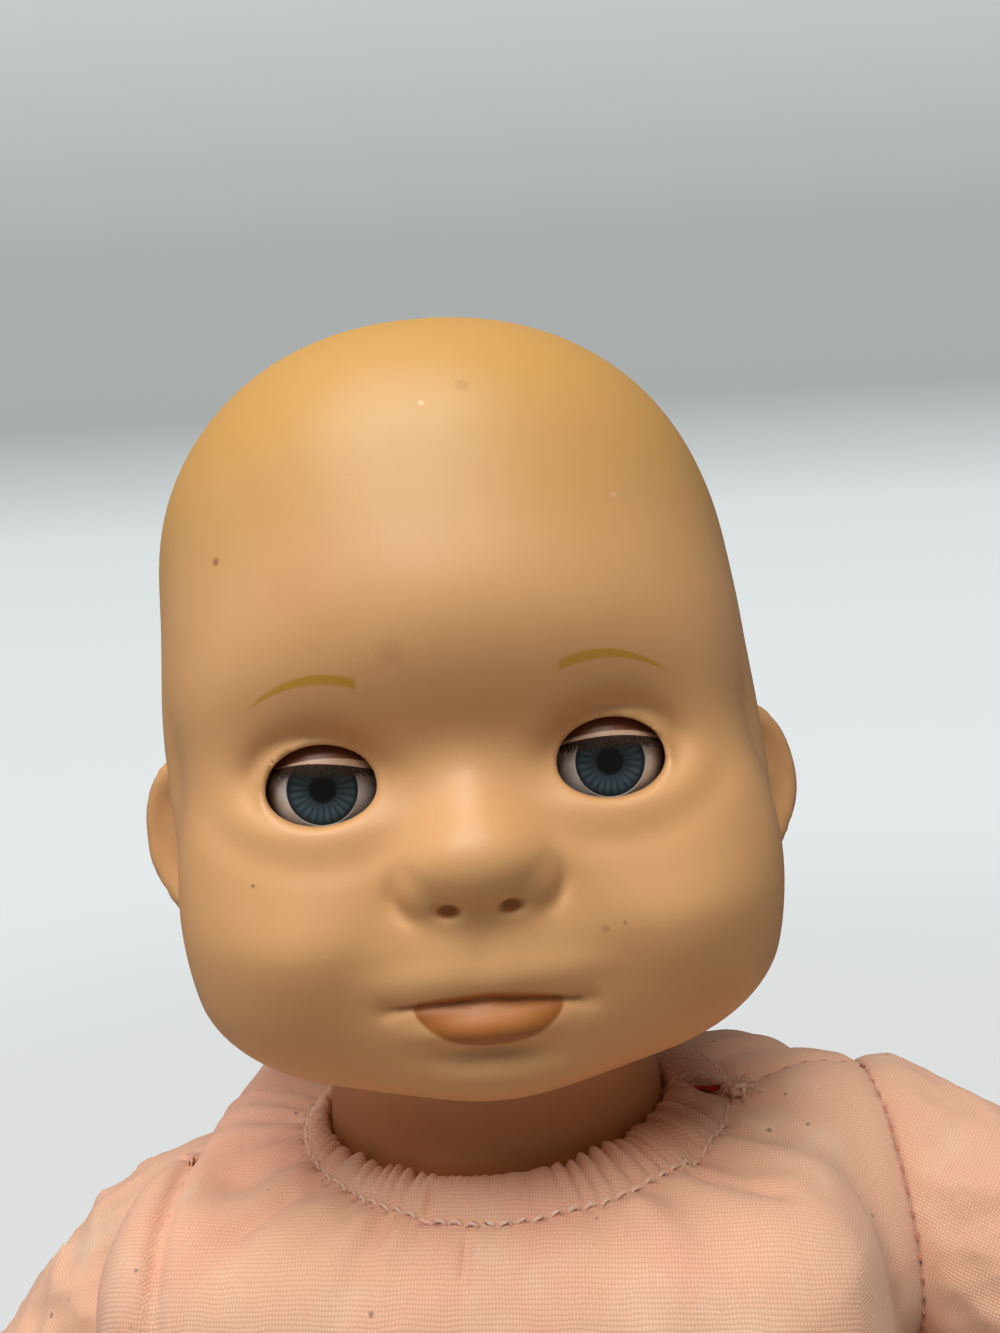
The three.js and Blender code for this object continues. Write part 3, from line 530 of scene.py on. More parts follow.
class Finish:
    """The nodes of a material, or of the world, under construction."""

    def __init__(self, name, world=None):
        self.material = world or bpy.data.materials.new(name)
        self.material.use_nodes = True
        self.tree = self.material.node_tree
        self.tree.nodes.clear()

    def node(self, kind, settings=None, inputs=None, output=0):
        made = self.tree.nodes.new("ShaderNode" + kind)
        for key, value in (settings or {}).items():
            if key == "stops":
                for element, (place, color) in zip(self.ramp_elements(made, len(value)), value):
                    element.position = place
                    element.color = color
            else:
                setattr(made, key, value)
        for key, value in (inputs or {}).items():
            if isinstance(value, Value):
                self.tree.links.new(value.socket, made.inputs[key])
            else:
                made.inputs[key].default_value = value
        return Value(self, made.outputs[output]) if made.outputs else None

    @staticmethod
    def ramp_elements(ramp, count):
        elements = ramp.color_ramp.elements
        while len(elements) < count:
            elements.new(1.0)
        return elements

    def place(self):
        """Where a point of the surface is in its piece, in millimetres: the vector and its three parts."""
        source = self.node("TexCoord", output="Object")
        scaled = self.node("VectorMath", {"operation": "SCALE"}, {0: source, "Scale": 1 / MM})
        return (scaled, *(self.node("SeparateXYZ", None, {0: scaled}, k) for k in range(3)))

    def noise(self, vector, scale, detail=2.0, roughness=0.5, distortion=0.0):
        inputs = {"Vector": vector, "Scale": scale, "Detail": detail, "Roughness": roughness,
                  "Distortion": distortion}
        return self.node("TexNoise", None, inputs)

    def mixed(self, first, second, share):
        return self.node("Mix", {"data_type": "RGBA"}, {6: first, 7: second, 0: share}, 2)

    def layered(self, base, *coats):
        """Coats of (color, share) over a base, one after another."""
        for color, share in coats:
            base = self.mixed(base, color, share)
        return base

    def bump(self, height, distance):
        return self.node("Bump", None, {"Height": height, "Distance": distance * MM, "Strength": 1.0})

    def surface(self, **inputs):
        shader = self.node("BsdfPrincipled", None, {k.replace("_", " "): v for k, v in inputs.items()})
        self.node("OutputMaterial", None, {"Surface": shader})
        return self.material


def shaded(color, share):
    return tuple(share * value for value in color[:3]) + (1.0,)


def plain(name, color, roughness):
    """A finish with a slight mottle, for pieces that hardly show."""
    finish = Finish(name)
    place, *_ = finish.place()
    mottle = finish.noise(place, 0.4, 3.0)
    base = finish.mixed(shaded(color, 0.82), color, mottle.rising(0.3, 0.7))
    return finish.surface(Base_Color=base, Roughness=roughness + 0.1 * mottle)


def vinyl_base(finish, place):
    """Soft vinyl with a slow drift of tone and a faint orange peel."""
    drift = finish.noise(place, 0.035, 3.0, 0.55)
    base = finish.mixed(VINYL_DEEP, VINYL, drift.rising(-0.25, 0.55))
    peel = finish.noise(place, 3.2, 2.0)
    pores = finish.noise(place, 14.0, 1.0)
    normal = finish.bump(peel * 0.8 + pores * 0.2, 0.02)
    rough = 0.4 + 0.12 * finish.noise(place, 0.25, 4.0)
    return base, rough, normal


def vinyl_finish():
    finish = Finish("vinyl")
    place, *_ = finish.place()
    base, rough, normal = vinyl_base(finish, place)
    return finish.surface(Base_Color=base, Roughness=rough, Normal=normal)


def face_finish():
    """The head's vinyl with its airbrushed hair, brows, lips and marks, and painted shade under the chin, on
    the lower lip and in the crease between the lips.
    """
    finish = Finish("painted_vinyl")
    place, x, y, z = finish.place()
    base, rough, normal = vinyl_base(finish, place)
    front = y.falling(-22, -14)
    mirrored = abs(x)

    # Hair paint down to a wavy edge, thin in swirls
    sway = finish.noise(place, 0.045, 2.0) * 16 - 8
    swirl = finish.noise(place, 0.02, 3.0, 0.6, 2.5)
    edge = z + sway - 34 + 0.55 * (y + 30).most(0.0)
    hair = (edge.rising(-26, 9) * (0.78 + 0.3 * swirl)).least(1.0)
    # The neck below the jaw is painted a darker brown: painted shade under the chin.
    base = finish.layered(base, (NECK_PAINTED_SHADE, z.falling(-72, -56) * 0.75), (HAIR_PAINT, hair))

    # Brows
    from_top = mirrored - BROW_TOP[0]
    brow_line = BROW_TOP[1] - BROW_BEND * from_top * from_top
    brow_width = 0.72 * mirrored.falling(BROW_ENDS[0] + 4, BROW_ENDS[1] + 5) + 0.1
    broken = finish.noise(place, 1.6, 3.0)
    across = abs(z - brow_line) / brow_width
    brow = across.falling(0.55, 1.05) * mirrored.rising(BROW_ENDS[0] - 0.4, BROW_ENDS[0] + 0.5)
    brow = brow * mirrored.falling(BROW_ENDS[1] - 3, BROW_ENDS[1]) * front * (0.5 + 0.7 * broken)
    base = finish.mixed(base, BROW_PAINT, brow.least(0.92))

    # Lips
    wide = mirrored / LIP_HALF_WIDTH
    bow = 1 - wide * wide
    mouth = MOUTH_LINE - 0.05 * x - 0.006 * x * x
    low_edge = mouth - LIP_DEPTH * bow.most(0.0) ** 0.7
    high_edge = mouth + 0.2 + 1.1 * bow.most(0.0) ** 0.6
    painted = (z - low_edge).rising(-0.5, 0.5) * (z - high_edge).falling(-0.5, 0.5) * front
    painted = painted * mirrored.falling(LIP_HALF_WIDTH - 0.8, LIP_HALF_WIDTH + 0.4)
    patchy = finish.noise(place, 0.35, 3.0)
    # The crease between the lips is painted darker out to the mouth's corners, past the lip paint: painted
    # shade in the crease.
    seam = abs(z - mouth - 0.1)
    line = seam.falling(0.0, 0.7) * mirrored.falling(MOUTH_HALF_WIDTH - 2.5, MOUTH_HALF_WIDTH + 0.5) * front
    # The lower lip's paint darkens towards its lower edge: painted shade where the lip turns under.
    base = finish.layered(base, (LIP_PAINT, painted * (0.8 + 0.2 * patchy)),
                          (LIP_PAINTED_SHADE, (z - low_edge).falling(0.2, 3.6) * painted * 0.7),
                          (LIP_CREASE_SHADE, line * 0.45))

    for at_x, at_z, radius, color, strength in FACE_MARKS:
        ragged = finish.noise(place, 1.9, 3.0) * radius
        away = (x - at_x).away(z - at_z)
        mark = (away + ragged - radius * 0.5).falling(radius * 0.35, radius)
        base = finish.mixed(base, color, mark * front * strength)
    return finish.surface(Base_Color=base, Roughness=rough, Normal=normal)


def cotton_finish():
    """Plain woven cotton, pink and beige by turns, with worn specks and painted shade in the gaps between its
    threads.
    """
    finish = Finish("cotton")
    place, *_ = finish.place()
    threads = finish.node("UVMap", {"uv_map": "weave"})
    u, v = (finish.node("SeparateXYZ", None, {0: threads}, k) for k in range(2))
    wander = finish.noise(place, 0.12, 2.0) * 1.2
    warp = (u + wander) * (math.pi / THREAD_PITCH)
    weft = (v + wander) * (math.pi / THREAD_PITCH)
    over = warp.sine() * weft.sine()
    ridge = abs(warp.sine()) * abs(weft.sine())

    drift = finish.noise(place, 0.03, 3.0, 0.6, 0.6)
    blotch = finish.noise(place, 0.075, 3.0, 0.6)
    speck = finish.node("TexVoronoi", {"feature": "F1"}, {"Vector": place, "Scale": 0.14, "Randomness": 1.0})
    size = finish.noise(place, 0.9, 3.0)
    spots = (speck + size * 0.12).falling(0.08, 0.13)
    # The gaps between the threads are painted darker: painted shade where the weave dips.
    base = finish.layered(COTTON, (COTTON_PINK, drift.rising(0.42, 0.68) * 0.75),
                          (COTTON_PALE, blotch.rising(0.5, 0.78) * 0.6),
                          (WEAVE_GAP_SHADE, ridge.falling(0.0, 0.6) * 0.5),
                          (WEAVE_TOP, over.rising(0.1, 1.0) * 0.16), (SPECK, spots * 0.7))
    fuzz = finish.noise(place, 6.0, 3.0)
    slub = finish.noise(place, 0.9, 3.0)
    height = ridge * 0.6 + fuzz * 0.25 + slub * 0.5
    normal = finish.bump(height, 0.09)
    return finish.surface(Base_Color=base, Roughness=0.88, Normal=normal, Sheen_Weight=0.15)


def thread_finish(name, color):
    finish = Finish(name)
    place, x, y, z = finish.place()
    twist = ((x + y + z) * 9.0).sine()
    base = finish.mixed(shaded(color, 0.78), color, twist.rising(-0.8, 0.6))
    fibre = finish.noise(place, 2.5, 2.0)
    return finish.surface(Base_Color=base, Roughness=0.7 + 0.25 * fibre)


def iris_finish():
    """The printed iris: petals round a black pupil inside a dark rim."""
    finish = Finish("iris_print")
    place, x, y, z = finish.place()
    radius = x.away(z)
    turn = z.angle_over(x)
    wobble = finish.noise(place, 0.9, 2.0) * 0.9
    petals = abs((turn * 12.0 + wobble).sine())
    share = radius / IRIS_RADIUS
    loop = (share + 0.1 * (1 - petals)).falling(0.84, 0.95)
    ray = petals.rising(0.1, 0.75) * share.rising(0.36, 0.5) * loop
    pale = petals.rising(0.6, 1.0) * share.rising(0.5, 0.68) * loop * 0.7
    pupil = radius.falling(PUPIL_RADIUS - 0.12, PUPIL_RADIUS + 0.16)
    base = finish.layered(IRIS_DARK, (IRIS_MID, 0.25 + 0.75 * ray), (IRIS_PALE, pale),
                          (IRIS_RIM, share.rising(0.9, 0.98) * 0.9), (PUPIL, pupil))
    return finish.surface(Base_Color=base, Roughness=0.35)


def sclera_finish():
    finish = Finish("eye_white")
    place, x, y, z = finish.place()
    mottle = finish.noise(place, 0.5, 3.0)
    # The white is painted darker towards the ball's sides, away from the iris: painted shade towards the
    # corners of the eye opening.
    base = finish.layered(SCLERA, (SCLERA_SIDE_SHADE, x.away(z).rising(5.6, 8.6) * 0.55),
                          (SCLERA_DUST, mottle.rising(0.4, 0.7) * 0.4))
    return finish.surface(Base_Color=base, Roughness=0.28)


def lens_finish():
    """Clear plastic: mostly see-through, with a weak gloss."""
    finish = Finish("clear_lens")
    gloss = finish.node("BsdfPrincipled", None, {"Base Color": srgb(40, 48, 52), "Roughness": 0.12})
    clear = finish.node("BsdfTransparent")
    facing = finish.node("LayerWeight", None, {"Blend": 0.12}, "Fresnel")
    share = 0.03 + facing * 0.5
    mixed = finish.node("MixShader", None, {0: share, 1: clear, 2: gloss})
    finish.node("OutputMaterial", None, {"Surface": mixed})
    return finish.material


def lid_finish():
    finish = Finish("lid_paint")
    place, x, y, z = finish.place()
    mottle = finish.noise(place, 0.6, 3.0)
    # The lid keeps its pale paint only in a narrow band above its edge and is painted dark reddish brown
    # above it: painted shade where the opening's rim shades the lid.
    above = z.angle_over(y * -1) * (180 / math.pi) - LID_EDGE_UP
    base = finish.mixed(LID, LID_PAINTED_SHADE, above.rising(3.2, 5.5) + 0.2 * mottle)
    return finish.surface(Base_Color=base, Roughness=0.4)


def metal_finish():
    finish = Finish("steel")
    place, *_ = finish.place()
    rub = finish.noise(place, 1.5, 4.0)
    return finish.surface(Base_Color=srgb(176, 178, 182), Metallic=1.0, Roughness=0.25 + 0.2 * rub)


# The head

def eye_shift(x, z):
    """How far a place on the face is out from the middle of an eye opening: 1 on its edge."""
    up = z - OPENING_MIDDLE
    tall = np.where(up > 0, OPENING_UP, OPENING_DOWN)
    return oval((np.abs(x) - EYE_AT[0], OPENING_HALF_WIDTH), (up, tall))


def mouth_line(x):
    """The height of the crease between the lips, which sits a little askew."""
    return MOUTH_LINE - 0.05 * x - 0.006 * x * x + 0.3 * bell(x, 2.2)


def ear_parts(x, y, z):
    """A point in an ear's own directions: out along it, through its thickness, and up."""
    mirrored = np.abs(x) - EAR_ROOT[0]
    back = y - EAR_ROOT[1]
    out = mirrored * math.cos(EAR_FLARE) + back * math.sin(EAR_FLARE)
    through = mirrored * math.sin(EAR_FLARE) - back * math.cos(EAR_FLARE)
    return out, through, z - EAR_ROOT[2]


def ear_field(x, y, z):
    """A shell of an ear: a disc with a rolled rim, a bowl and a lobe."""
    out, through, up = ear_parts(x, y, z)
    middle = EAR_REACH / 2
    narrow = 1 - 0.16 * rising(-up, 2, EAR_HALF_HEIGHT)
    ring = oval((out - middle, middle * narrow), (up, EAR_HALF_HEIGHT))
    edge = (ring - 1) * middle
    disc = shared(edge, np.abs(through + 0.4) - 1.5, 1.6)
    rim = oval((edge + 1.5, 1), (through - 0.5, 1)) - 1.75
    inner = oval((out - 6, 4.8), (up + 1.5, 7.5))
    fold = oval(((inner - 1) * 4.8, 1), (through - 0.2, 1)) - 1.2
    ear = joined(joined(disc, rim, 1.4), fold, 1.4)
    lobe = oval((out - 5.5, 5.2), (through, 2.4), (up + 11.2, 4.6))
    ear = joined(ear, (lobe - 1) * 2.4, 1.6)
    bowl = oval((out - 5.6, 3.6), (through - 2.6, 3.4), (up + 1.8, 6))
    return cut(ear, (bowl - 1) * 3.4, 1.0)


def sheared(x, z):
    """The moulded head leans a little to one side above its brows, and to the other below them."""
    return x + 0.9 * rising(z, 5, 34) - 1.2 * rising(-z, -2, 30)


def head_base(x, y, z):
    """The head without nose, lips, ears or neck."""
    m = np.abs(sheared(x, z))
    field = mass(CRANIUM, m, y, z)
    field = heaped(field, (m, y, z), (SIDE_OF_HEAD, 14), (FACE, 19.6), (CHEEK, 14), (CHIN, 8))
    front = rising(-y, -FACE_PLANE, -FACE_PLANE + 8)
    between_eyes = 4.4 * bell(z + 13.5, 11) * (0.3 + 0.7 * bell(m, 14))
    brow_swell = 1.6 * bell(z - 10, 12) * bell(m, 30)
    eye_hollow = 2.2 * bell(m - EYE_AT[0], 12) * bell(z + 11.5, 9)
    cheek_swell = 3.0 * bell(m - 25, 13) * bell(z + 36, np.where(z > -36, 8, 12))
    under_jaw = 3.0 * rising(-z, 44, 66)
    return field + (between_eyes - brow_swell + eye_hollow - cheek_swell + under_jaw) * front


def neck_field(x, y, z):
    """The neck: a slightly tapered tube with the groove that the drawstring is drawn into."""
    away = from_axis(x, y)
    radius = NECK_RADIUS - NECK_TAPER * (z - GROOVE_TOP) / (NECK_TOP - GROOVE_TOP)
    top = NECK_TOP + 10
    tube = shared(away - radius, np.abs(z - (top + NECK_BOTTOM) / 2) - (top - NECK_BOTTOM) / 2, 1.2)
    middle = (GROOVE_TOP + GROOVE_BOTTOM) / 2
    groove = shared(NECK_RADIUS - GROOVE_DEPTH - away, np.abs(z - middle) - (GROOVE_TOP - middle), 0.8)
    return cut(tube, groove, 0.8)


def face_field(x, y, z):
    """The outside of the head."""
    m = np.abs(x)
    field = head_base(x, y, z)
    front = rising(-y, 30, 38)
    field = heaped(field, (m, y, z), (MUZZLE, 6))
    crease = mouth_line(x)
    mouth_hollow = bell(z - crease - 0.4, 3.4) * bell(m, 9)
    under_lip = bell(z - crease + 7.1, 2.3) * bell(m, 8)
    field = field + (1.9 * mouth_hollow + 1.7 * under_lip) * front
    field = heaped(field, (m, y, z), (NOSE_TIP, 5), (NOSE_BRIDGE, 7))
    wing = mass(NOSE_WING, m, y, z)
    # The crease behind the nose's wings
    field = field + 0.6 * bell(wing - 0.5, 1.2) * rising(m, 7, 10) * bell(z + 29.5, 4) * front
    field = heaped(field, (m, y, z), (NOSE_WING, 1.3), (UPPER_LIP, 2.6), (LOWER_LIP, 1.2))
    fade = 1 - rising(m, MOUTH_HALF_WIDTH - 2, MOUTH_HALF_WIDTH + 0.6)
    # The line between the lips, the channel under the nose, and the mouth's corners
    field = field + 0.6 * bell(z - crease, 0.6) * fade * front
    field = field + 0.35 * bell(m, 2.2) * bell(z + 36.0, 3.2) * front
    field = field + 0.5 * bell(m - MOUTH_HALF_WIDTH, 1.5) * bell(z - crease, 1.2) * front
    # The lids' skin follows the ball over each eye, and swells a little under it
    shift = eye_shift(x, z)
    to_eye = oval(*((value - at, 1) for value, at in zip((m, y, z), EYE_AT)))
    below = rising(OPENING_MIDDLE - z, -4, 6) * front
    near = bell(np.maximum(shift - 1, 0), 0.42) * (front - below)
    field = field + np.clip(to_eye - 11.4 - field, -0.3, 1.5) * near
    field = field + (0.2 * bell(shift - 2.1, 0.4) - 0.4 * bell(shift - 1.15, 0.5)) * below
    field = joined(field, ear_field(sheared(x, z), y, z), 2.6)
    field = joined(field, neck_field(x, y, z), 3)
    return cut(field, mass(NOSTRIL, m, y, z), 0.9)


def head_field(x, y, z):
    """The head's hollow wall, open at the neck and at the eyes."""
    bore = np.maximum(from_axis(x, y) - NECK_BORE, z - NECK_TOP - 10)
    hollow = joined(head_base(x, y, z) + HEAD_WALL, bore, 3)
    wall = cut(face_field(x, y, z), hollow, 0.8)
    to_ball = oval(*((value - at, 1) for value, at in zip((np.abs(x), y, z), EYE_AT)))
    wall = cut(wall, to_ball - EYE_CLEARANCE, 0.4)
    opening = np.maximum((eye_shift(x, z) - 1) * 5.4, y - EYE_AT[1])
    return cut(wall, opening, 0.6)


def head_matrix():
    return Matrix.Translation((0, 0, BROW_HEIGHT * MM)) @ Matrix.Rotation(HEAD_TURN, 4, "Z")


def make_head():
    """The head as one mesh, its lines closest together over the face."""
    x = lines(-64, (-46, 1.5), (-30, 1.7), (30, FACE_STEP), (46, 1.7), (64, 1.5))
    y = lines(-60, (-34, FACE_STEP), (62, 1.9))
    z = lines(-92, (-76, 1.0), (-52, 1.6), (2, FACE_STEP), (64, 1.9))
    points, faces = net(head_field, (x, y, z))
    fitted(piece("head_vinyl", points, faces, face_finish(), head_matrix()), "head", "head_shell")


# The eyes

def eye_matrix(side):
    across, forward, up = EYE_AT
    return head_matrix() @ Matrix.Translation((side * across * MM, forward * MM, up * MM))


def lathe(profile, around=LATHE_STEPS):
    """A mesh turned about -Y from (radius, forward) points; a radius of 0 closes it."""
    points, rings = [], []
    for radius, forward in profile:
        count = around if radius > 1e-6 else 1
        rings.append(range(len(points), len(points) + count))
        for angle in (2 * math.pi * k / around for k in range(count)):
            points.append((radius * math.cos(angle), -forward, radius * math.sin(angle)))
    return np.array(points), bridged(rings)


def arc(radius, start, end, steps):
    """Points (radius, forward) on a sphere, from one angle off its front to another, in degrees."""
    angles = np.radians(np.linspace(start, end, steps + 1))
    return [(radius * math.sin(a), radius * math.cos(a)) for a in angles]


def make_eye(name, side, finishes):
    """An eye: the ball with its dish, the printed iris in it, the clear front, the lid and the lashes."""
    place = eye_matrix(side)
    iris_angle = math.degrees(math.asin(IRIS_RADIUS / EYE_RADIUS))
    front = EYE_RADIUS * math.cos(math.radians(iris_angle))
    dish = front - 0.75

    ball = [(0, -EYE_RADIUS)] + arc(EYE_RADIUS, 176, iris_angle + 1.5, 40)
    ball += [(IRIS_RADIUS, front - 0.05), (IRIS_RADIUS - 0.02, dish), (0, dish - 0.02)]

    steps = [IRIS_RADIUS * k / 12 for k in range(12, 0, -1)]
    shallow = [(radius * 0.995, dish + 0.1 + 0.35 * (radius / IRIS_RADIUS) ** 2) for radius in steps]
    shallow.append((0, dish + 0.1))
    dome = arc(EYE_RADIUS + 0.12, iris_angle, 0, 10)
    dome[-1] = (0, EYE_RADIUS + 0.12)

    for part, profile, slot, node in (("eye_white", ball, "eye_white", "eyeball"),
                                      ("iris", shallow, "iris_print", "eye_iris"),
                                      ("lens", dome, "clear_lens", "eye_lens")):
        made = piece(f"{part}_{name}", *lathe(profile), finishes[part], place)
        fitted(made, f"eye_{name}", f"{node}_{name}")
    make_lid(name, side, place, finishes)
    make_lashes(name, side, place, finishes)


def on_ball(radius, up, across):
    """A point on the ball from its angles up and across, in degrees."""
    up, across = math.radians(up), math.radians(across)
    return (radius * math.sin(across), -radius * math.cos(across) * math.cos(up),
            radius * math.cos(across) * math.sin(up))


def lid_edge_up(side, across):
    """The angle of the lid's edge, which sits a little askew on the doll's right eye."""
    return LID_EDGE_UP - (0.1 * across if side < 0 else 0.02 * across)


def make_lid(name, side, place, finishes):
    """The painted lid: a curved shell over the top of the ball, with a rounded lip along its edge."""
    rows, columns, rounding = 26, 40, 6
    half = LID_THICK / 2
    turns = [math.pi * k / rounding for k in range(1, rounding)]
    section = [(LID_RADIUS + half, LID_EDGE_UP + LID_COVER * (1 - k / rows)) for k in range(rows + 1)]
    section += [(LID_RADIUS + half * math.cos(turn), LID_EDGE_UP - 1.3 * math.sin(turn)) for turn in turns]
    section += [(LID_RADIUS - half, LID_EDGE_UP + LID_COVER * k / rows) for k in range(rows + 1)]
    points = []
    for column in range(columns + 1):
        across = LID_HALF_WIDTH * (2 * column / columns - 1)
        tilt = lid_edge_up(side, across) - LID_EDGE_UP
        points += [on_ball(radius, up + tilt, across) for radius, up in section]
    size = len(section)
    numbers = ring_numbers(columns + 1, size)
    faces = bridged(numbers) + [numbers[0][::-1], numbers[-1]]
    made = piece(f"lid_{name}", points, faces, finishes["lid"], place)
    made.data.materials.append(finishes["lid_edge"])
    for polygon in made.data.polygons:
        low = min(v % size for v in polygon.vertices)
        if rows <= low <= rows + 4 and len(polygon.vertices) == 4:
            polygon.material_index = 1
    fitted(made, f"eye_{name}", f"eyelid_{name}")


def strand(path, radius, tip_share, sides=4):
    """A thin tapering strand along a path: its points and faces."""
    path = np.array(path, float)
    along = np.gradient(path, axis=0)
    along /= np.linalg.norm(along, axis=1)[:, None]
    helper = np.array((0.0, 0.0, 1.0)) if abs(along[0][2]) < 0.8 else np.array((1.0, 0.0, 0.0))
    points = []
    for k, (at, way) in enumerate(zip(path, along)):
        side = np.cross(way, helper)
        side /= np.linalg.norm(side)
        other = np.cross(way, side)
        size = radius * (1 + (tip_share - 1) * k / (len(path) - 1))
        for corner in range(sides):
            angle = 2 * math.pi * corner / sides
            points.append(at + size * (math.cos(angle) * side + math.sin(angle) * other))
    numbers = ring_numbers(len(path), sides)
    return points, bridged(numbers, outward=False) + [numbers[0], numbers[-1][::-1]]


def strands(paths):
    """Many strands as one set of points and faces; each is (path, radius, tip share)."""
    points, faces = [], []
    for path, radius, tip_share, *sides in paths:
        more, round_it = strand(path, radius, tip_share, *sides)
        faces += [tuple(v + len(points) for v in face) for face in round_it]
        points += more
    return points, faces


def make_lashes(name, side, place, finishes):
    """Fine ragged lashes that hang from the lid's edge over the top of the iris."""
    chance = np.random.default_rng(41 + side)
    paths = []
    for row in range(LASH_ROWS):
        for k in range(LASHES_IN_ROW):
            across = -LASH_SPREAD + 2 * LASH_SPREAD * (k + chance.uniform(0, 1)) / LASHES_IN_ROW
            length = chance.uniform(6.5, 12.5) * (1 - 0.25 * (abs(across) / LASH_SPREAD) ** 2)
            lean = chance.normal(0, 3.2) + across * 0.03
            start = lid_edge_up(side, across) - 0.3 + chance.uniform(-0.6, 0.4)
            path = []
            for step in range(5):
                share = step / 4
                radius = LID_RADIUS + 0.05 + 0.12 * row + 0.55 * share * share
                path.append(on_ball(radius, start - length * share, across + lean * share))
            paths.append((path, chance.uniform(0.05, 0.085), 0.35))
    made = piece(f"lashes_{name}", *strands(paths), finishes["lash"], place)
    fitted(made, f"eye_{name}", f"eye_lashes_{name}")


def make_eyes():
    finishes = {
        "eye_white": sclera_finish(), "iris": iris_finish(), "lens": lens_finish(), "lid": lid_finish(),
        "lid_edge": plain("lid_edge", LID_EDGE, 0.5), "lash": thread_finish("lash_hair", LASH),
    }
    steel = metal_finish()
    plastic = plain("socket_plastic", srgb(207, 200, 184), 0.55)
    for name, side in SIDES.items():
        make_eye(name, side, finishes)
        for node in (f"eye_pin_{name}", f"eye_weight_{name}"):
            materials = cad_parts[node].data.materials
            materials.clear()
            materials.append(steel)
        cup = arc(EYE_CLEARANCE + 1.4, 84, 122, 16) + arc(EYE_CLEARANCE, 122, 84, 16)
        cup.append(cup[0])
        made = piece(f"socket_{name}", *lathe(cup), plastic, eye_matrix(side))
        fitted(made, "head", f"eye_socket_{name}")


# The cloth body

def before_puff(x, z):
    """The height of a point before the stuffing pushed the chest up beside the neck."""
    amount = rising(np.abs(x), 32, 58) * np.where(x > 0, PUFF_LEFT, PUFF_RIGHT)
    return z - amount * rising(z, 60, 105)


def folds(x, y, z, seed, count, longest, shortest, depth):
    """Soft creases in cloth: ridged waves in many directions."""
    chance = np.random.default_rng(seed)
    total = 0
    for k in range(count):
        long = shortest + (longest - shortest) * chance.random() ** 1.5
        way = chance.normal(size=3)
        way *= 2 * math.pi / long / np.linalg.norm(way)
        other = chance.normal(size=3) * 2 * math.pi / (longest * 2.2)
        phase, second = chance.uniform(0, 6.3, 2)
        swing = 1.4 * np.sin(other[0] * x + other[1] * y + other[2] * z + second)
        wave = np.sin(way[0] * x + way[1] * y + way[2] * z + phase + swing)
        total = total + depth * (long / longest) * (1 - 1.6 * np.abs(wave))
    return total / math.sqrt(count)


def limb_place(at, along):
    """The frame of a limb: +Z along it, +Y upwards; gives its origin and its three directions."""
    along = np.array(along, float)
    along /= np.linalg.norm(along)
    up = np.array((0, 0, 1.0)) - along[2] * along
    up /= np.linalg.norm(up)
    return np.array(at, float), np.stack([np.cross(up, along), up, along])


def arm_place(side):
    drop, forward = math.radians(ARM_DROP[side]), math.radians(ARM_FORWARD)
    along = (side * math.cos(drop) * math.cos(forward), -math.cos(drop) * math.sin(forward), -math.sin(drop))
    return limb_place(SHOULDERS[side], along)


def leg_place(side):
    splay, drop = math.radians(LEG_SPLAY), math.radians(LEG_DROP)
    along = (side * math.sin(splay) * math.cos(drop), -math.cos(splay) * math.cos(drop), -math.sin(drop))
    return limb_place((side * HIP[0], HIP[1], HIP[2]), along)


def limb_parts(place, x, y, z):
    """A point in a limb's own directions."""
    at, ways = place
    dx, dy, dz = x - at[0], y - at[1], z - at[2]
    return [way[0] * dx + way[1] * dy + way[2] * dz for way in ways]


def stuffed(place, root, end, length, bulge, x, y, z):
    """A stuffed tube of cloth, tied near its end, with a small frill past the tie."""
    px, py, pz = limb_parts(place, x, y, z)
    away = from_axis(px, py)
    tie = length - TIE_BACK
    share = np.clip(pz / tie, 0, 1)
    radius = root + (end - root) * share + bulge * np.sin(math.pi * share)
    turn = np.arctan2(py, px)
    pleats = np.sin(23 * turn + 2 * np.sin(3 * turn)) * 0.5 * bell(pz - tie, 9) * rising(pz, 5, 25)
    radius = radius - 1.9 * bell(pz - tie, 2.4) + pleats
    tube = away - radius
    ball = np.sqrt(away * away + pz * pz) - root
    field = np.where(pz < 0, ball, tube)
    return shared(field, pz - length, 1.6)


def torso_only(x, y, z):
    """The trunk without limbs, its right shoulder sloped down."""
    m = np.abs(x)
    up = before_puff(x, z)
    sloped = 1.6 * bell(x + 59, 9) * bell(y - 2, 24) * rising(z, 98, 116)
    return joined(mass(CHEST, m, y, up), mass(BELLY, m, y, up), 12) + sloped


def seam_gap(x, y, z):
    """How far out past the armhole seam a point is."""
    right = -x - (54.8 + 0.22 * (y - SEAM_Y))
    left = x - (64.5 - 0.06 * (y - SEAM_Y))
    return np.where(x > 0, left, right)


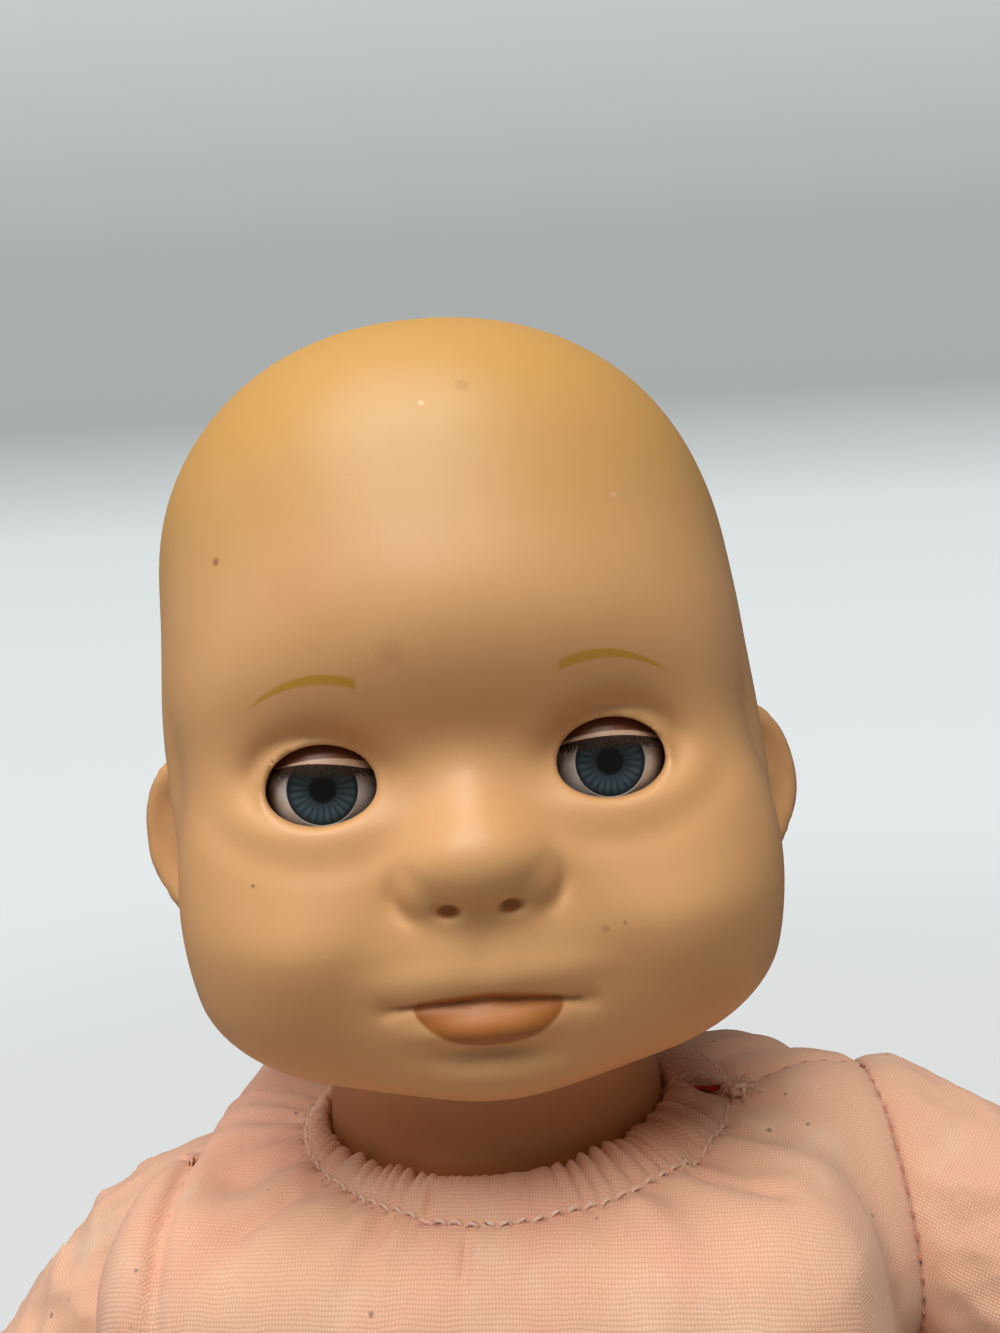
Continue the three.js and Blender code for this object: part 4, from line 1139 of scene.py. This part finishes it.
def cloth_field(x, y, z):
    """The whole stuffed cloth body: torso, sleeves and thighs."""
    field = torso_only(x, y, z)
    upper = rising(z, 70, 100)
    crease = folds(x, y, z, seed=5, count=5, longest=46, shortest=22, depth=0.5)
    field = field - crease * (1 - upper * 0.5)
    for side in (1, -1):
        sleeve = stuffed(arm_place(side), SHOULDER_RADIUS, SLEEVE_END, SLEEVE_LENGTH, SLEEVE_BULGE, x, y, z)
        depth = SLEEVE_CREASE[side]
        crease = folds(x, y, z, seed=11 + side, count=6, longest=26, shortest=9, depth=depth)
        sleeve = sleeve - crease * rising(side * x, 62, 74)
        field = joined(field, sleeve, 9)
        thigh = stuffed(leg_place(side), HIP_RADIUS, THIGH_END, THIGH_LENGTH, THIGH_BULGE, x, y, z)
        thigh = thigh - folds(x, y, z, seed=21 + side, count=5, longest=34, shortest=12, depth=0.7)
        field = joined(field, thigh, 8)
    # The left shoulder is fuller, both armholes are drawn in, and the shoulder seams lie in grooves
    field = field - 1.7 * bell(x - 55, 8) * bell(y - 2, 22) * rising(z, 108, 128)
    gap = seam_gap(x, y, z)
    groove = bell(gap, 1.5) * rising(z, 82, 92)
    puffed = bell(gap - 6, 4) * rising(z, 90, 120)
    field = field + 1.0 * groove - 0.5 * puffed
    top_seam = bell(y - SEAM_Y, 1.3) * rising(np.abs(x), 36, 42) * (gap < 0)
    field = field + 0.55 * top_seam * rising(z, 20, 40)
    return shared(field, -z, 3)


def yoke_field(x, y, z):
    """The cloth's top, with the puckers that run out from the neck's stitches."""
    field = cloth_field(x, y, z)
    away = from_axis(x, y)
    turn = np.arctan2(x, -y)
    gather = gathered(turn)
    wave = np.sin(31 * turn + 2.2 * np.sin(5 * turn + 1)) + 0.6 * np.sin(17 * turn + 0.4)
    past = away - stitch_ring(turn)
    puckers = wave * gather * np.exp(-np.maximum(past, 0) / 9) * rising(past, -0.5, 4) * rising(z, 120, 134)
    sunk = 0
    for angle, lean, width, begins, ends, depth in NECK_CREASES:
        line = bell(turn - angle - lean * (away - 40), width)
        sunk = sunk + line * rising(away, *begins) * (1 - rising(away, *ends)) * depth
    for angle, width, distance, length, depth in NECK_DENTS:
        sunk = sunk + bell(turn - angle, width) * bell(away - distance, length) * depth
    return field + (0.7 * puckers + sunk) * rising(z, 120, 134)


def gathered(turn):
    """How strongly the casing is gathered at an angle from the front: little there, a lot at the sides."""
    return 0.12 + 0.88 * np.maximum(rising(-turn, 0.12, 0.34), rising(turn, 0.32, 0.56))


def cloth_kind(x, y, z):
    """Which cloth piece a point belongs to: front, back, left or right sleeve, left or right thigh."""
    kind = np.where(y > SEAM_Y, 1, 0)
    for side, number in SLEEVES:
        sleeve = (seam_gap(x, y, z) > 0) & (side * x > 0)
        px, py, pz = limb_parts(arm_place(side), x, y, z)
        near = (px * px + py * py < SLEEVE_REACH ** 2) & ((pz > -14) | (z > 86))
        kind = np.where(sleeve & near, number, kind)
    for side, number in THIGHS:
        px, py, pz = limb_parts(leg_place(side), x, y, z)
        near = (side * x > 0) & (px * px + py * py < THIGH_REACH ** 2)
        kind = np.where((pz > THIGH_SEAM) & near, number, kind)
    return kind


def snapped(points, kinds, faces, rounds=3):
    """Moves the points where two cloth pieces meet onto the seam between them, and keeps them on the skin."""
    touched = np.zeros((len(points), 6), bool)
    for corner in range(4):
        touched[faces[:, corner], kinds] = True
    shared_points = np.nonzero(touched.sum(1) > 1)[0]
    touched = touched[shared_points].T
    flat = touched[0] & touched[1]
    for _ in range(rounds):
        at = points[shared_points]
        at[flat, 1] = SEAM_Y
        for side, number in SLEEVES:
            chosen = touched[number]
            at[chosen, 0] -= side * seam_gap(*at[chosen].T)
        for side, number in THIGHS:
            origin, ways = leg_place(side)
            chosen = touched[number]
            past = (at[chosen] - origin) @ ways[2] - THIGH_SEAM
            at[chosen] -= past[:, None] * ways[2]
        points[shared_points] = onto(yoke_field, at)
    return points


def open_edges(faces):
    """The directed edges that only one face uses."""
    ends = directed_edges(faces)
    big = int(ends.max()) + 1
    key = ends[:, 0].astype(np.int64) * big + ends[:, 1]
    back = ends[:, 1].astype(np.int64) * big + ends[:, 0]
    return ends[~np.isin(key, back)]


def with_allowance(points, faces, depth):
    """A cloth piece whose open edges are turned in by a seam allowance."""
    edges = open_edges(faces)
    rim = np.unique(edges)
    number = numbered(rim, len(points), len(points))
    inward = normals_of(points, faces)[rim]
    grown = points[rim] - inward * depth
    strip = np.stack([edges[:, 1], edges[:, 0], number[edges[:, 0]], number[edges[:, 1]]], 1)
    return np.concatenate([points, grown]), np.concatenate([faces, strip])


def taken(points, faces):
    """Only the points that some faces use."""
    used = np.unique(faces)
    return points[used], numbered(used, len(points))[faces]


def settled(made):
    """A piece whose mesh holds its place, so that its box is no wider than it is."""
    made.data.transform(made.matrix_world)
    made.matrix_world = Matrix.Identity(4)
    return made


def read(parts, what, width=1, kind=np.float32):
    values = np.empty(len(parts) * width, kind)
    parts.foreach_get(what, values)
    return values.reshape(-1, width) if width > 1 else values


def thread_map(made, place=None, round_it=None):
    """A map of the cloth's threads in millimetres: along and around the torso, or along and around a limb."""
    mesh = made.data
    points = read(mesh.vertices, "co", 3) / MM
    corner = read(mesh.loops, "vertex_index", kind=np.int32)
    if place is None:
        shoulder, over = 96, 138
        x, y, z = points.T
        turn = np.arctan2(z - shoulder, -(y + 2))
        up_and_over = np.where(y < 0, z - shoulder, over + shoulder - z)
        first, second = x, np.where(z < shoulder, up_and_over, 44 * turn)
    else:
        px, py, pz = limb_parts(place, *points.T)
        first, second = pz, round_it * np.arctan2(-py, -px)
    mapped = np.stack([first[corner], second[corner]], 1)
    if place is None:
        facing = read(mesh.polygons, "normal", 3)[:, 0]
        sizes = read(mesh.polygons, "loop_total", kind=np.int32)
        sideways = np.repeat(np.abs(facing) > 0.72, sizes)
        mapped[sideways] = points[corner[sideways]][:, 1:]
    layer = mesh.uv_layers.new(name="weave")
    layer.data.foreach_set("uv", mapped.astype(np.float32).ravel())


def make_cloth(cotton):
    """The cotton body in its six sewn pieces, open at the neck."""
    x = lines(-126, (-95, 1.7), (95, 1.15), (126, 1.7))
    y = lines(-100, (-52, 1.8), (14, 1.1), (60, 2.0))
    z = lines(-2, (92, 2.0), (147, 1.0))
    points, faces = net(yoke_field, (x, y, z))
    middle = points[faces].mean(1)
    away = np.sqrt(middle[:, 0] ** 2 + middle[:, 1] ** 2)
    hole = stitch_ring(np.arctan2(middle[:, 0], -middle[:, 1])) + 0.8
    faces = faces[~((away < hole) & (middle[:, 2] > 110))]
    kinds = cloth_kind(*points[faces].mean(1).T)
    points = snapped(points, kinds, faces)
    away = np.sqrt(points[:, 0] ** 2 + points[:, 1] ** 2)
    under = (1 - rising(away, YOKE_EDGE - 3.5, YOKE_EDGE - 1)) * (points[:, 2] > 110)
    points[:, 2] -= 0.35 * under
    limbs = {"sleeve": ("arm", arm_place, 19.0, ARMHOLE_DEPTH, ARMHOLE_GIVE),
             "thigh": ("leg", leg_place, 21.0, THIGH_SEAM, THIGH_GIVE)}
    for number, (name, node) in enumerate(CLOTH_PIECES):
        some, its_faces = taken(points, faces[kinds == number])
        made = piece(name, *with_allowance(some, its_faces, SEAM_ALLOWANCE), cotton)
        part, where = node.split("_")
        if part in limbs:
            limb, place_of, radius, depth, give = limbs[part]
            place = place_of(SIDES[where])
            thread_map(made, place, radius)
            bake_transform(made)
        else:
            thread_map(made)
            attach(made, "body")
        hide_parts(node)


def make_lining(cotton):
    """Cotton inside each armhole, so that no filling shows when an arm swings."""
    axes = (lines(-64, (64, 2.2)), lines(-56, (56, 2.2)), lines(64, (144, 2.2)))
    points, faces = net(lambda x, y, z: shared(torso_only(x, y, z) + 1.5, 68 - z, 2), axes)
    middle = points[faces].mean(1)
    some, faces = taken(points, faces[(np.abs(middle[:, 0]) > 48) & (middle[:, 2] > 71)])
    thread_map(fitted(piece("armhole_lining", some, faces, cotton), "body"))


def stitch_ring(turn):
    """The radius of the stitched ring at an angle from the front: it sits wider on the doll's left."""
    return STITCH_RING + RING_ASKEW * np.sin(turn)


def around_neck(radius, turn, height):
    """Points at a radius from the neck's axis and an angle from the front."""
    return np.stack([radius * np.sin(turn), -radius * np.cos(turn), height], 1)


def top_height(x, y):
    """The height of the cloth's top over a place, by halving."""
    low, high = np.full(x.shape, 112.0), np.full(x.shape, 152.0)
    for _ in range(22):
        middle = (low + high) / 2
        inside = yoke_field(x, y, middle) < 0
        low, high = np.where(inside, middle, low), np.where(inside, high, middle)
    return (low + high) / 2


def top_round(radius, turn):
    """The height of the cloth's top at a radius from the neck's axis and an angle from the front."""
    return top_height(radius * np.sin(turn), -radius * np.cos(turn))


def casing_point(turn, share, outer):
    """The casing's height at an angle from the front and a share of the way out, gathers included."""
    side = gathered(turn)
    swing = 3.2 * np.sin(6 * turn + 0.7) + 1.3 * np.sin(13 * turn)
    pleat = np.abs(np.sin(50 * turn + swing)) - 0.62
    deep = np.abs(np.sin(17 * turn + 1.9 * np.sin(5 * turn))) - 0.6
    wave = (1.9 * pleat + 1.0 * deep) * side * (1 - 0.8 * share)
    lifted = CASING_TOP + (outer - CASING_TOP) * share ** 1.4 + 0.55 * np.sin(math.pi * share) ** 0.8
    lone = -0.9 * bell(turn + 0.16, 0.018) * rising(share, 0.25, 0.6)
    slit = -1.6 * bell(turn - SLIT_TURN, 0.05) * bell(share - 0.62, 0.3)
    lips = bell(turn - SLIT_TURN - 0.12, 0.05) + bell(turn - SLIT_TURN + 0.12, 0.05)
    lips = 0.9 * lips * rising(share, 0.1, 0.4)
    return lifted + wave + lone + slit + lips * (1 - 0.6 * share) - 0.5 * bell((1 - share) * 8, 0.55)


def seam_stitches(path, pitch, length, radius, lift):
    """Stitches along a seam: short strands that rise out of the cloth and dip back into it."""
    travelled = np.concatenate([[0], np.cumsum(np.linalg.norm(np.diff(path, axis=0), axis=1))])
    found = []
    for start in np.arange(pitch / 2, travelled[-1] - length, pitch):
        stops = start + length * np.array([0, 0.2, 0.5, 0.8, 1.0])
        at = np.stack([np.interp(stops, travelled, path[:, k]) for k in range(3)], 1)
        outward = slope(yoke_field, at)
        outward /= np.linalg.norm(outward, axis=1)[:, None]
        rise = lift * np.array([-1.2, 0.5, 1.0, 0.5, -1.2])
        found.append((at + outward * rise[:, None], radius, 1.0, 6))
    return found


def armhole(side):
    """The line of an armhole's seam over the shoulder, from the front to the back."""
    count = 60
    angles = np.linspace(ARMHOLE_START[side], 0.0, count)
    at = np.stack([np.full(count, 62.0 * side), SEAM_Y + 34 * np.sin(angles), 106 + 38 * np.cos(angles)], 1)
    for _ in range(40):
        at = onto(yoke_field, at, 1.5)
        at[:, 0] -= side * seam_gap(*at.T)
    return onto(yoke_field, at)


def make_seams(seam_thread):
    """The sparse stitches that show along the armholes and the left shoulder."""
    paths = []
    for side, stitch in ARMHOLE_STITCHES.items():
        paths += seam_stitches(armhole(side), *stitch)
    x = np.linspace(46.0, 64.0, 30)
    y = np.full(len(x), SEAM_Y)
    paths += seam_stitches(np.stack([x, y, top_height(x, y)], 1), *SHOULDER_STITCHES)
    fitted(piece("seam_stitches", *strands(paths), seam_thread), "body")


def make_casing(cotton, thread):
    """The gathered casing in its parts, the yoke of cloth round it, and the stitches between them."""
    around = CASING_STEPS
    turn = np.linspace(-math.pi, math.pi, around, endpoint=False)
    ring = stitch_ring(turn)
    outer = top_round(ring, turn)
    rings = [(np.full(around, radius), np.full(around, height)) for radius, height in CASING_HEM]
    crimp = 0.55 * (np.abs(np.sin(44 * turn + 3.2 * np.sin(6 * turn + 0.7))) - 0.5) * gathered(turn)
    for share in np.linspace(0.01, 1, 22):
        wide = CASING_INNER + (ring - CASING_INNER) * share + crimp * (1 - share) ** 2 + 0.3 * (1 - share)
        rings.append((wide, casing_point(turn, share, outer) - 0.75 * (1 - share) ** 10))
    casing_rows = len(rings)
    near = casing_point(turn, 1.0, outer) - outer
    for share in np.linspace(0.06, 1, 18):
        radius = ring + (YOKE_EDGE - ring) * share
        ground = top_round(radius, turn) - 0.3 * rising(radius, YOKE_EDGE - 2, YOKE_EDGE)
        rings.append((radius, ground + near * max(0, 1 - 1.7 * share) ** 2))
    points = np.concatenate([around_neck(radius, turn, height) for radius, height in rings])
    index = np.arange(len(rings) * around).reshape(len(rings), around)
    nxt = np.roll(index, -1, axis=1)
    quads = np.stack([index[:-1], nxt[:-1], nxt[1:], index[1:]], -1)
    some, faces = taken(points, quads[casing_rows - 1:].reshape(-1, 4)[:, ::-1])
    thread_map(fitted(piece("yoke", some, faces, cotton), "body"))
    each = around // CASING_PARTS
    for k in range(CASING_PARTS):
        some, faces = taken(points, quads[:casing_rows - 1, k * each:(k + 1) * each].reshape(-1, 4)[:, ::-1])
        made = piece(f"casing_{k}", some, faces, cotton)
        thread_map(made)
        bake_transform(made)
        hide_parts("neck_casing")

    paths = []
    count = round(2 * math.pi * STITCH_RING / STITCH_PITCH)
    for k in range(count):
        angle = -math.pi + 2 * math.pi * (k + 0.5) / count
        if abs(angle - SLIT_TURN) < 0.1:
            continue
        half = 0.36 * STITCH_PITCH / STITCH_RING
        spread = angle + half * np.array([-1, -0.6, 0, 0.6, 1])
        radius = stitch_ring(spread) + 0.1 * math.sin(3.1 * k)
        ground = casing_point(spread, 1.0, np.interp(spread, turn, outer))
        lift = np.array([-0.2, 0.4, 0.55, 0.4, -0.2])
        paths.append((around_neck(radius, spread, ground + lift), 0.34, 1.0, 6))
    fitted(piece("neck_stitches", *strands(paths), thread), "body")


# Vinyl limbs, in their own frames

def nail(field, across, along, over):
    """A nail's rim: a shallow step round an oval, on the side of the finger or toe where a nail is."""
    return field + 0.22 * bell(oval(across, along) - 1, 0.16) * over


def forearm_field(x, y, z):
    """The doll's left forearm and hand, its x towards the thumb."""
    arm = tapered((0, 0, 0), (0, 0, 16), 12.2, 13.2, x, y, z)
    arm = shared(arm, -(z - 0.4), 1.5)
    stub = np.maximum(from_axis(x, y) - 9, np.abs(z + 4.5) - 6.0)
    field = joined(arm, tapered((0, 0, 16), WRIST, 13.2, 9.6, x, y, z), 9)
    cx, cy, cz = PALM
    field = joined(field, mass(dict(at=PALM, radii=(11.5, 6.8, 13.5), power=2.2), x, y, z), 9)
    fingers = None
    for number in (-1.5, -0.5, 0.5, 1.5):
        knuckle = (cx + number * FINGER_PITCH, cy, cz + 9.7 - abs(number))
        bend = (cx + number * 6.2, cy - 0.9, knuckle[2] + 5.5 - abs(number) / 2)
        tip = (knuckle[0] + number, cy - 3.5, knuckle[2] + 11 - abs(number))
        finger = tapered(knuckle, bend, 3.6, 3.3, x, y, z)
        finger = joined(finger, tapered(bend, tip, 3.3, 2.95, x, y, z), 1.2)
        finger = nail(finger, (x - tip[0], 2.9 * 0.62), (z - tip[2] - 0.6, 2.9 * 0.8), y > tip[1])
        fingers = finger if fingers is None else joined(fingers, finger, 0.9)
    field = joined(field, fingers, 3)
    thumb = tapered((cx + 7, cy - 2, cz - 4), (cx + 15.5, cy - 4, cz + 6), 4.4, 3.05, x, y, z)
    field = joined(field, thumb, 3.5)
    # The crease round the wrist and the dimples over the knuckles
    along = (x - WRIST[0]) * 0.29 + (z - WRIST[2] - 1.5)
    field = field + 0.9 * bell(along, 1.3)
    for number in (-1, 0, 1):
        dimple = oval((x - cx - number * FINGER_PITCH, 1), (z - cz - 7.5, 1))
        field = field + 0.7 * bell(dimple, 1.8) * (y > cy)
    return np.minimum(field, stub)


def lower_leg_field(x, y, z):
    """The doll's left lower leg and foot, its x towards the little toe."""
    leg = tapered((0, 0, 0), (0, 0, 24), 15.6, 18.2, x, y, z)
    leg = shared(leg, -(z - 0.4), 1.5)
    stub = np.maximum(from_axis(x, y) - 11, np.abs(z + 5) - 6.5)
    field = joined(leg, tapered((0, 0, 24), ANKLE, 18.0, 13, x, y, z), 10)
    field = joined(field, mass(dict(at=FOOT, radii=(12.6, 23.5, 10.5), power=2.3), x, y, z), 9)
    toes = None
    for toe in range(5):
        radius = 4.1 + 0.45 * (1.4 - toe)
        at = (FOOT[0] - (8.5 - toe * 4.5), FOOT[1] + 23.5 - 1.64 - 0.63 * toe * toe, FOOT[2] + 1.5)
        one = mass(dict(at=at, radii=(radius, radius * 1.25, radius * 1.1), power=2), x, y, z)
        one = nail(one, (x - at[0], radius * 0.6), (y - at[1] - 1.5, radius * 0.7), z < at[2])
        toes = one if toes is None else joined(toes, one, 0.9)
    field = joined(field, toes, 2.6)
    along = z - ANKLE[2] + 0.25 * (y - ANKLE[1])
    field = field + 1.0 * bell(along + 1.5, 1.5) * (y > 0) + 0.5 * bell(along + 5, 1.3) * (y < 0)
    return np.minimum(field, stub)


def placed(place, distance):
    """The matrix of a limb's frame, moved out along it."""
    at, ways = place
    origin = (at + distance * ways[2]) * MM
    return Matrix([[ways[0][k], ways[1][k], ways[2][k], origin[k]] for k in range(3)] + [[0, 0, 0, 1]])


def make_limbs(vinyl, cord):
    hand_axes = (lines(-19, (39, 0.9)), lines(-19, (19, 0.9)), lines(-12, (38, 1.3), (92, 0.75)))
    foot_axes = (lines(-24, (24, 0.95)), lines(-25, (42, 1.0)), lines(-13, (44, 1.5), (80, 0.8)))
    hand = net(forearm_field, hand_axes)
    foot = net(lower_leg_field, foot_axes)
    for name, side in SIDES.items():
        arm, leg = arm_place(side), leg_place(side)
        for part, body, limb, tie, shape, way, place, end, length in (
                ("forearm", "lower_arm", "arm", "sleeve_tie", hand, -side, arm, SLEEVE_END, SLEEVE_LENGTH),
                ("lower_leg", "shin", "leg", "leg_tie", foot, side, leg, THIGH_END, THIGH_LENGTH)):
            points, faces = shape
            made = piece(f"{part}_vinyl_{name}", points * (way, 1, 1), faces[:, ::way], vinyl,
                         placed(place, length))
            fitted(settled(made), f"{body}_{name}", f"{part}_{name}")
            tie_place = placed(place, length - TIE_BACK)
            make_tie(f"{tie}_{name}", f"{limb}_{name}", tie_place, end - 0.75, cord)


def cord_path(path, radius):
    """A two-ply twisted cord along a path: its points and faces."""
    plies = []
    path = np.array(path, float)
    along = np.gradient(path, axis=0)
    along /= np.linalg.norm(along, axis=1)[:, None]
    helper = np.array((0.0, 0.0, 1.0))
    side = np.cross(along, helper)
    side /= np.maximum(np.linalg.norm(side, axis=1), 1e-6)[:, None]
    other = np.cross(side, along)
    travelled = np.concatenate([[0], np.cumsum(np.linalg.norm(np.diff(path, axis=0), axis=1))])
    turns = max(1, round(travelled[-1] / (radius * 5.5)))
    angle = 2 * math.pi * turns * travelled / travelled[-1]
    for ply in (0, math.pi):
        shift = 0.5 * radius * (np.cos(angle + ply)[:, None] * side + np.sin(angle + ply)[:, None] * other)
        plies.append((path + shift, radius * 0.56, 1.0, 7))
    return strands(plies)


def make_tie(node, body, matrix, radius, cord):
    """A cord tied round a limb's end."""
    angles = np.linspace(0, 2 * math.pi, 181)
    ring = np.stack([radius * np.cos(angles), radius * np.sin(angles), 0.12 * np.sin(5 * angles)], 1)
    made = piece(node + "_cord", *cord_path(ring, TIE_CORD * 0.95), cord, matrix)
    fitted(settled(made), body, node)


def make_drawstring(cord, knot):
    """The drawstring in its groove, and its tail out through the slit to the knot."""
    angles = np.linspace(0.12, 2 * math.pi, 200)
    height = np.full(200, DRAWSTRING_HEIGHT)
    ring = np.stack([GROOVE_RING * np.cos(angles), GROOVE_RING * np.sin(angles), height], 1)
    tail = [(26.9, 0.0, 136.6), (29.0, -0.2, 139.5), (32.0, -0.2, 142.8), (36.0, -1.0, 144.0), tuple(knot)]
    dense = []
    for a, b in zip(tail, tail[1:]):
        dense += [np.array(a) + (np.array(b) - np.array(a)) * k / 6 for k in range(6)]
    whole = cord_path(np.concatenate([ring, np.array(dense)]), DRAWSTRING_RADIUS)
    fitted(piece("drawstring", *whole, cord), "neck_ring", "neck_drawstring")


def make_knot(cord, knot):
    """The frayed knot on the doll's left shoulder: three loops and loose strands."""
    chance = np.random.default_rng(64)
    paths = []
    for tilt in (0.0, 1.1, 2.2):
        turn = np.linspace(0, 2 * math.pi, 25)
        loop = np.stack([1.3 * np.cos(turn), 1.3 * np.sin(turn) * math.cos(tilt),
                         1.1 * np.sin(turn) * math.sin(tilt) + 0.35 * np.cos(2 * turn)], 1)
        paths.append((knot + loop, 0.55, 1.0, 8))
    for _ in range(KNOT_STRANDS):
        way = np.array([chance.normal(0.1, 0.6), chance.normal(-0.2, 0.6), chance.uniform(-0.1, 0.8)])
        way /= np.linalg.norm(way)
        length = chance.uniform(1.6, 4.2)
        bend = chance.normal(size=3) * 0.5
        steps = np.linspace(0, 1, 7)[:, None]
        path = knot + way * 0.8 + length * steps * way + bend * steps ** 2
        path = path + np.array([0, 0, -1.6]) * steps ** 2.5
        paths.append((path, chance.uniform(0.09, 0.2), 0.5, 4))
    fitted(piece("frayed_knot", *strands(paths), cord), "body")


def make_slit(slit_cloth):
    """The red lining that shows in the slit."""
    count, length, width = 32, 2.5, 0.85
    around = np.linspace(0, 2 * math.pi, count, endpoint=False)
    rings = []
    for share in (1.0, 0.66, 0.33):
        along = length * share * np.cos(around)
        across = width * share * np.sin(around) * (1 + 0.3 * np.sin(3 * around))
        radius = 37.4 + along
        turn = SLIT_TURN + across / 36.0
        height = top_round(radius, turn) + 1.2 - 0.9 * (1 - share ** 2)
        rings.append(around_neck(radius, turn, height))
    points = np.concatenate([*rings, rings[-1].mean(0)[None]])
    faces = bridged([*ring_numbers(3, count), [3 * count]])
    fitted(piece("slit_lining", points, faces, slit_cloth), "body")


def make_filling():
    """The fibre filling, and the bag of pellets under it, both out of sight in the cloth."""
    def filling(x, y, z):
        lumps = folds(x, y, z, seed=77, count=5, longest=26, shortest=12, depth=1.6)
        solid = shared(torso_only(x, y, z) + FILLING_GAP, 22 - z, 3)
        well = np.maximum(from_axis(x, y) - 39, 120 - z)
        return cut(solid, well, 2) - lumps

    def pellets(x, y, z):
        lumps = folds(x, y, z, seed=78, count=6, longest=9, shortest=5, depth=0.5)
        return shared(shared(torso_only(x, y, z) + PELLET_GAP, z - 19, 3), 1.6 - z, 2) - lumps

    for name, field, node, slot, fill, finish, axes in (
            ("filling", filling, "body_stuffing", "fibre", CLOTH_FILL[0],
             plain("fibre", srgb(236, 230, 218), 0.95),
             (lines(-62, (62, FILLING_STEP)), lines(-54, (52, FILLING_STEP)), lines(16, (142, 3.4)))),
            ("pellet_bag", pellets, "seat_pellet_bag", "pellets", PELLET_FILL,
             plain("pellets", srgb(214, 218, 220), 0.5),
             (lines(-62, (62, PELLET_STEP)), lines(-54, (52, PELLET_STEP)), lines(-1, (24, 1.5))))):
        made = fitted(piece(name, *net(field, axes), finish), "body", node)


# The camera, the lamps and what stands round the doll

def make_camera():
    sin_yaw, cos_yaw = math.sin(CAMERA_YAW), math.cos(CAMERA_YAW)
    level = Vector((cos_yaw, -sin_yaw, 0))
    forward = Vector((sin_yaw, cos_yaw, 0))
    up = Vector((0, 0, 1))
    right = level * math.cos(CAMERA_ROLL) - up * math.sin(CAMERA_ROLL)
    top = level * math.sin(CAMERA_ROLL) + up * math.cos(CAMERA_ROLL)
    data = bpy.data.cameras.new("camera")
    data.lens = LENS
    data.sensor_width = SENSOR
    data.clip_start = 0.005
    camera = bpy.data.objects.new("camera", data)
    turn = Matrix((right, top, -forward)).transposed().to_4x4()
    camera.matrix_world = Matrix.Translation(Vector(CAMERA_AT) * MM) @ turn
    bpy.context.scene.collection.objects.link(camera)
    bpy.context.scene.camera = camera


def lamp(name, at, aim, size, power, color):
    data = bpy.data.lights.new(name, "AREA")
    data.shape = "DISK"
    data.size = size
    data.energy = power
    data.color = color
    made = bpy.data.objects.new(name, data)
    made.location = at
    made.rotation_mode = "QUATERNION"
    made.rotation_quaternion = (Vector(at) - Vector(aim)).to_track_quat("Z", "Y")
    bpy.context.scene.collection.objects.link(made)


def make_light():
    lamp("key_lamp", at=(-0.06, -0.57, 1.26), aim=(0, -0.03, 0.16), size=1.0, power=17.0,
         color=(1.0, 0.985, 0.96))
    lamp("side_lamp", at=(-1.0, -0.3, 0.7), aim=(0, 0, 0.15), size=0.8, power=1.2, color=(0.97, 0.985, 1.0))


def make_world():
    """A white sweep low down and a soft grey above it, for camera rays; an even pale light for the rest."""
    world = bpy.data.worlds.new("studio")
    bpy.context.scene.world = world
    sky = Finish("studio", world)
    way = sky.node("TexCoord", output="Generated")
    x, y, z = (sky.node("SeparateXYZ", None, {0: way}, k) for k in range(3))
    level = x.away(y)
    ahead = (y * math.cos(CAMERA_YAW) + x * math.sin(CAMERA_YAW)).most(level * 0.8)
    across = x * math.cos(CAMERA_YAW) - y * math.sin(CAMERA_YAW)
    height = (z + across * 0.038) / ahead
    share = height.math("MULTIPLY_ADD", 0.72, 0.31, clamp=True)
    shade = sky.node("ValToRGB", {"stops": BACKDROP}, {0: share})
    shown = sky.node("Background", None, {"Color": shade})
    even = sky.node("Background", None, {"Color": (0.95, 0.975, 1.0, 1.0), "Strength": 0.14})
    camera = sky.node("LightPath", None, None, "Is Camera Ray")
    through = sky.node("LightPath", None, None, "Is Transmission Ray")
    mixed = sky.node("MixShader", None, {0: camera.most(through), 1: even, 2: shown})
    sky.node("OutputWorld", None, {"Surface": mixed})


def make_floor():
    """A pale round floor that fades out at its rim."""
    around, radii = 96, (0.15, 0.3, 0.5, 0.8, 1.2)
    points = [(0, 0, 0)]
    for radius in radii:
        for angle in (2 * math.pi * k / around for k in range(around)):
            points.append((radius / MM * math.cos(angle), radius / MM * math.sin(angle), 0))
    faces = bridged([[0], *ring_numbers(len(radii), around, 1)], outward=False)
    finish = Finish("pale_floor")
    place, x, y, z = finish.place()
    diffuse = finish.node("BsdfPrincipled", None, {"Base Color": srgb(150, 146, 142), "Roughness": 0.9})
    glow = finish.node("Emission", None, {"Color": srgb(238, 241, 241), "Strength": 1.0})
    clear = finish.node("BsdfTransparent")
    camera = finish.node("LightPath", None, None, "Is Camera Ray")
    lit = finish.node("MixShader", None, {0: camera * 0.8, 1: diffuse, 2: glow})
    mixed = finish.node("MixShader", None, {0: x.away(y).rising(420, 1150), 1: lit, 2: clear})
    finish.node("OutputMaterial", None, {"Surface": mixed})
    piece("floor", points, faces, finish.material)


make_camera()
make_world()
make_light()
make_floor()
make_head()
make_eyes()
cotton = cotton_finish()
cord = thread_finish("cord", THREAD)
make_cloth(cotton)
make_lining(cotton)
make_casing(cotton, cord)
make_seams(thread_finish("seam_thread", SEAM_THREAD))
make_limbs(vinyl_finish(), cord)
knot = np.array([*KNOT_AT, top_height(*np.array(KNOT_AT)[:, None])[0] + 0.9])
make_drawstring(cord, knot)
make_knot(cord, knot)
make_slit(plain("slit_cloth", SLIT_CLOTH, 0.9))
make_filling()

bpy.context.scene.view_settings.view_transform = "Standard"


def corners(box):
    return [list(map(float, corner)) for corner in box]
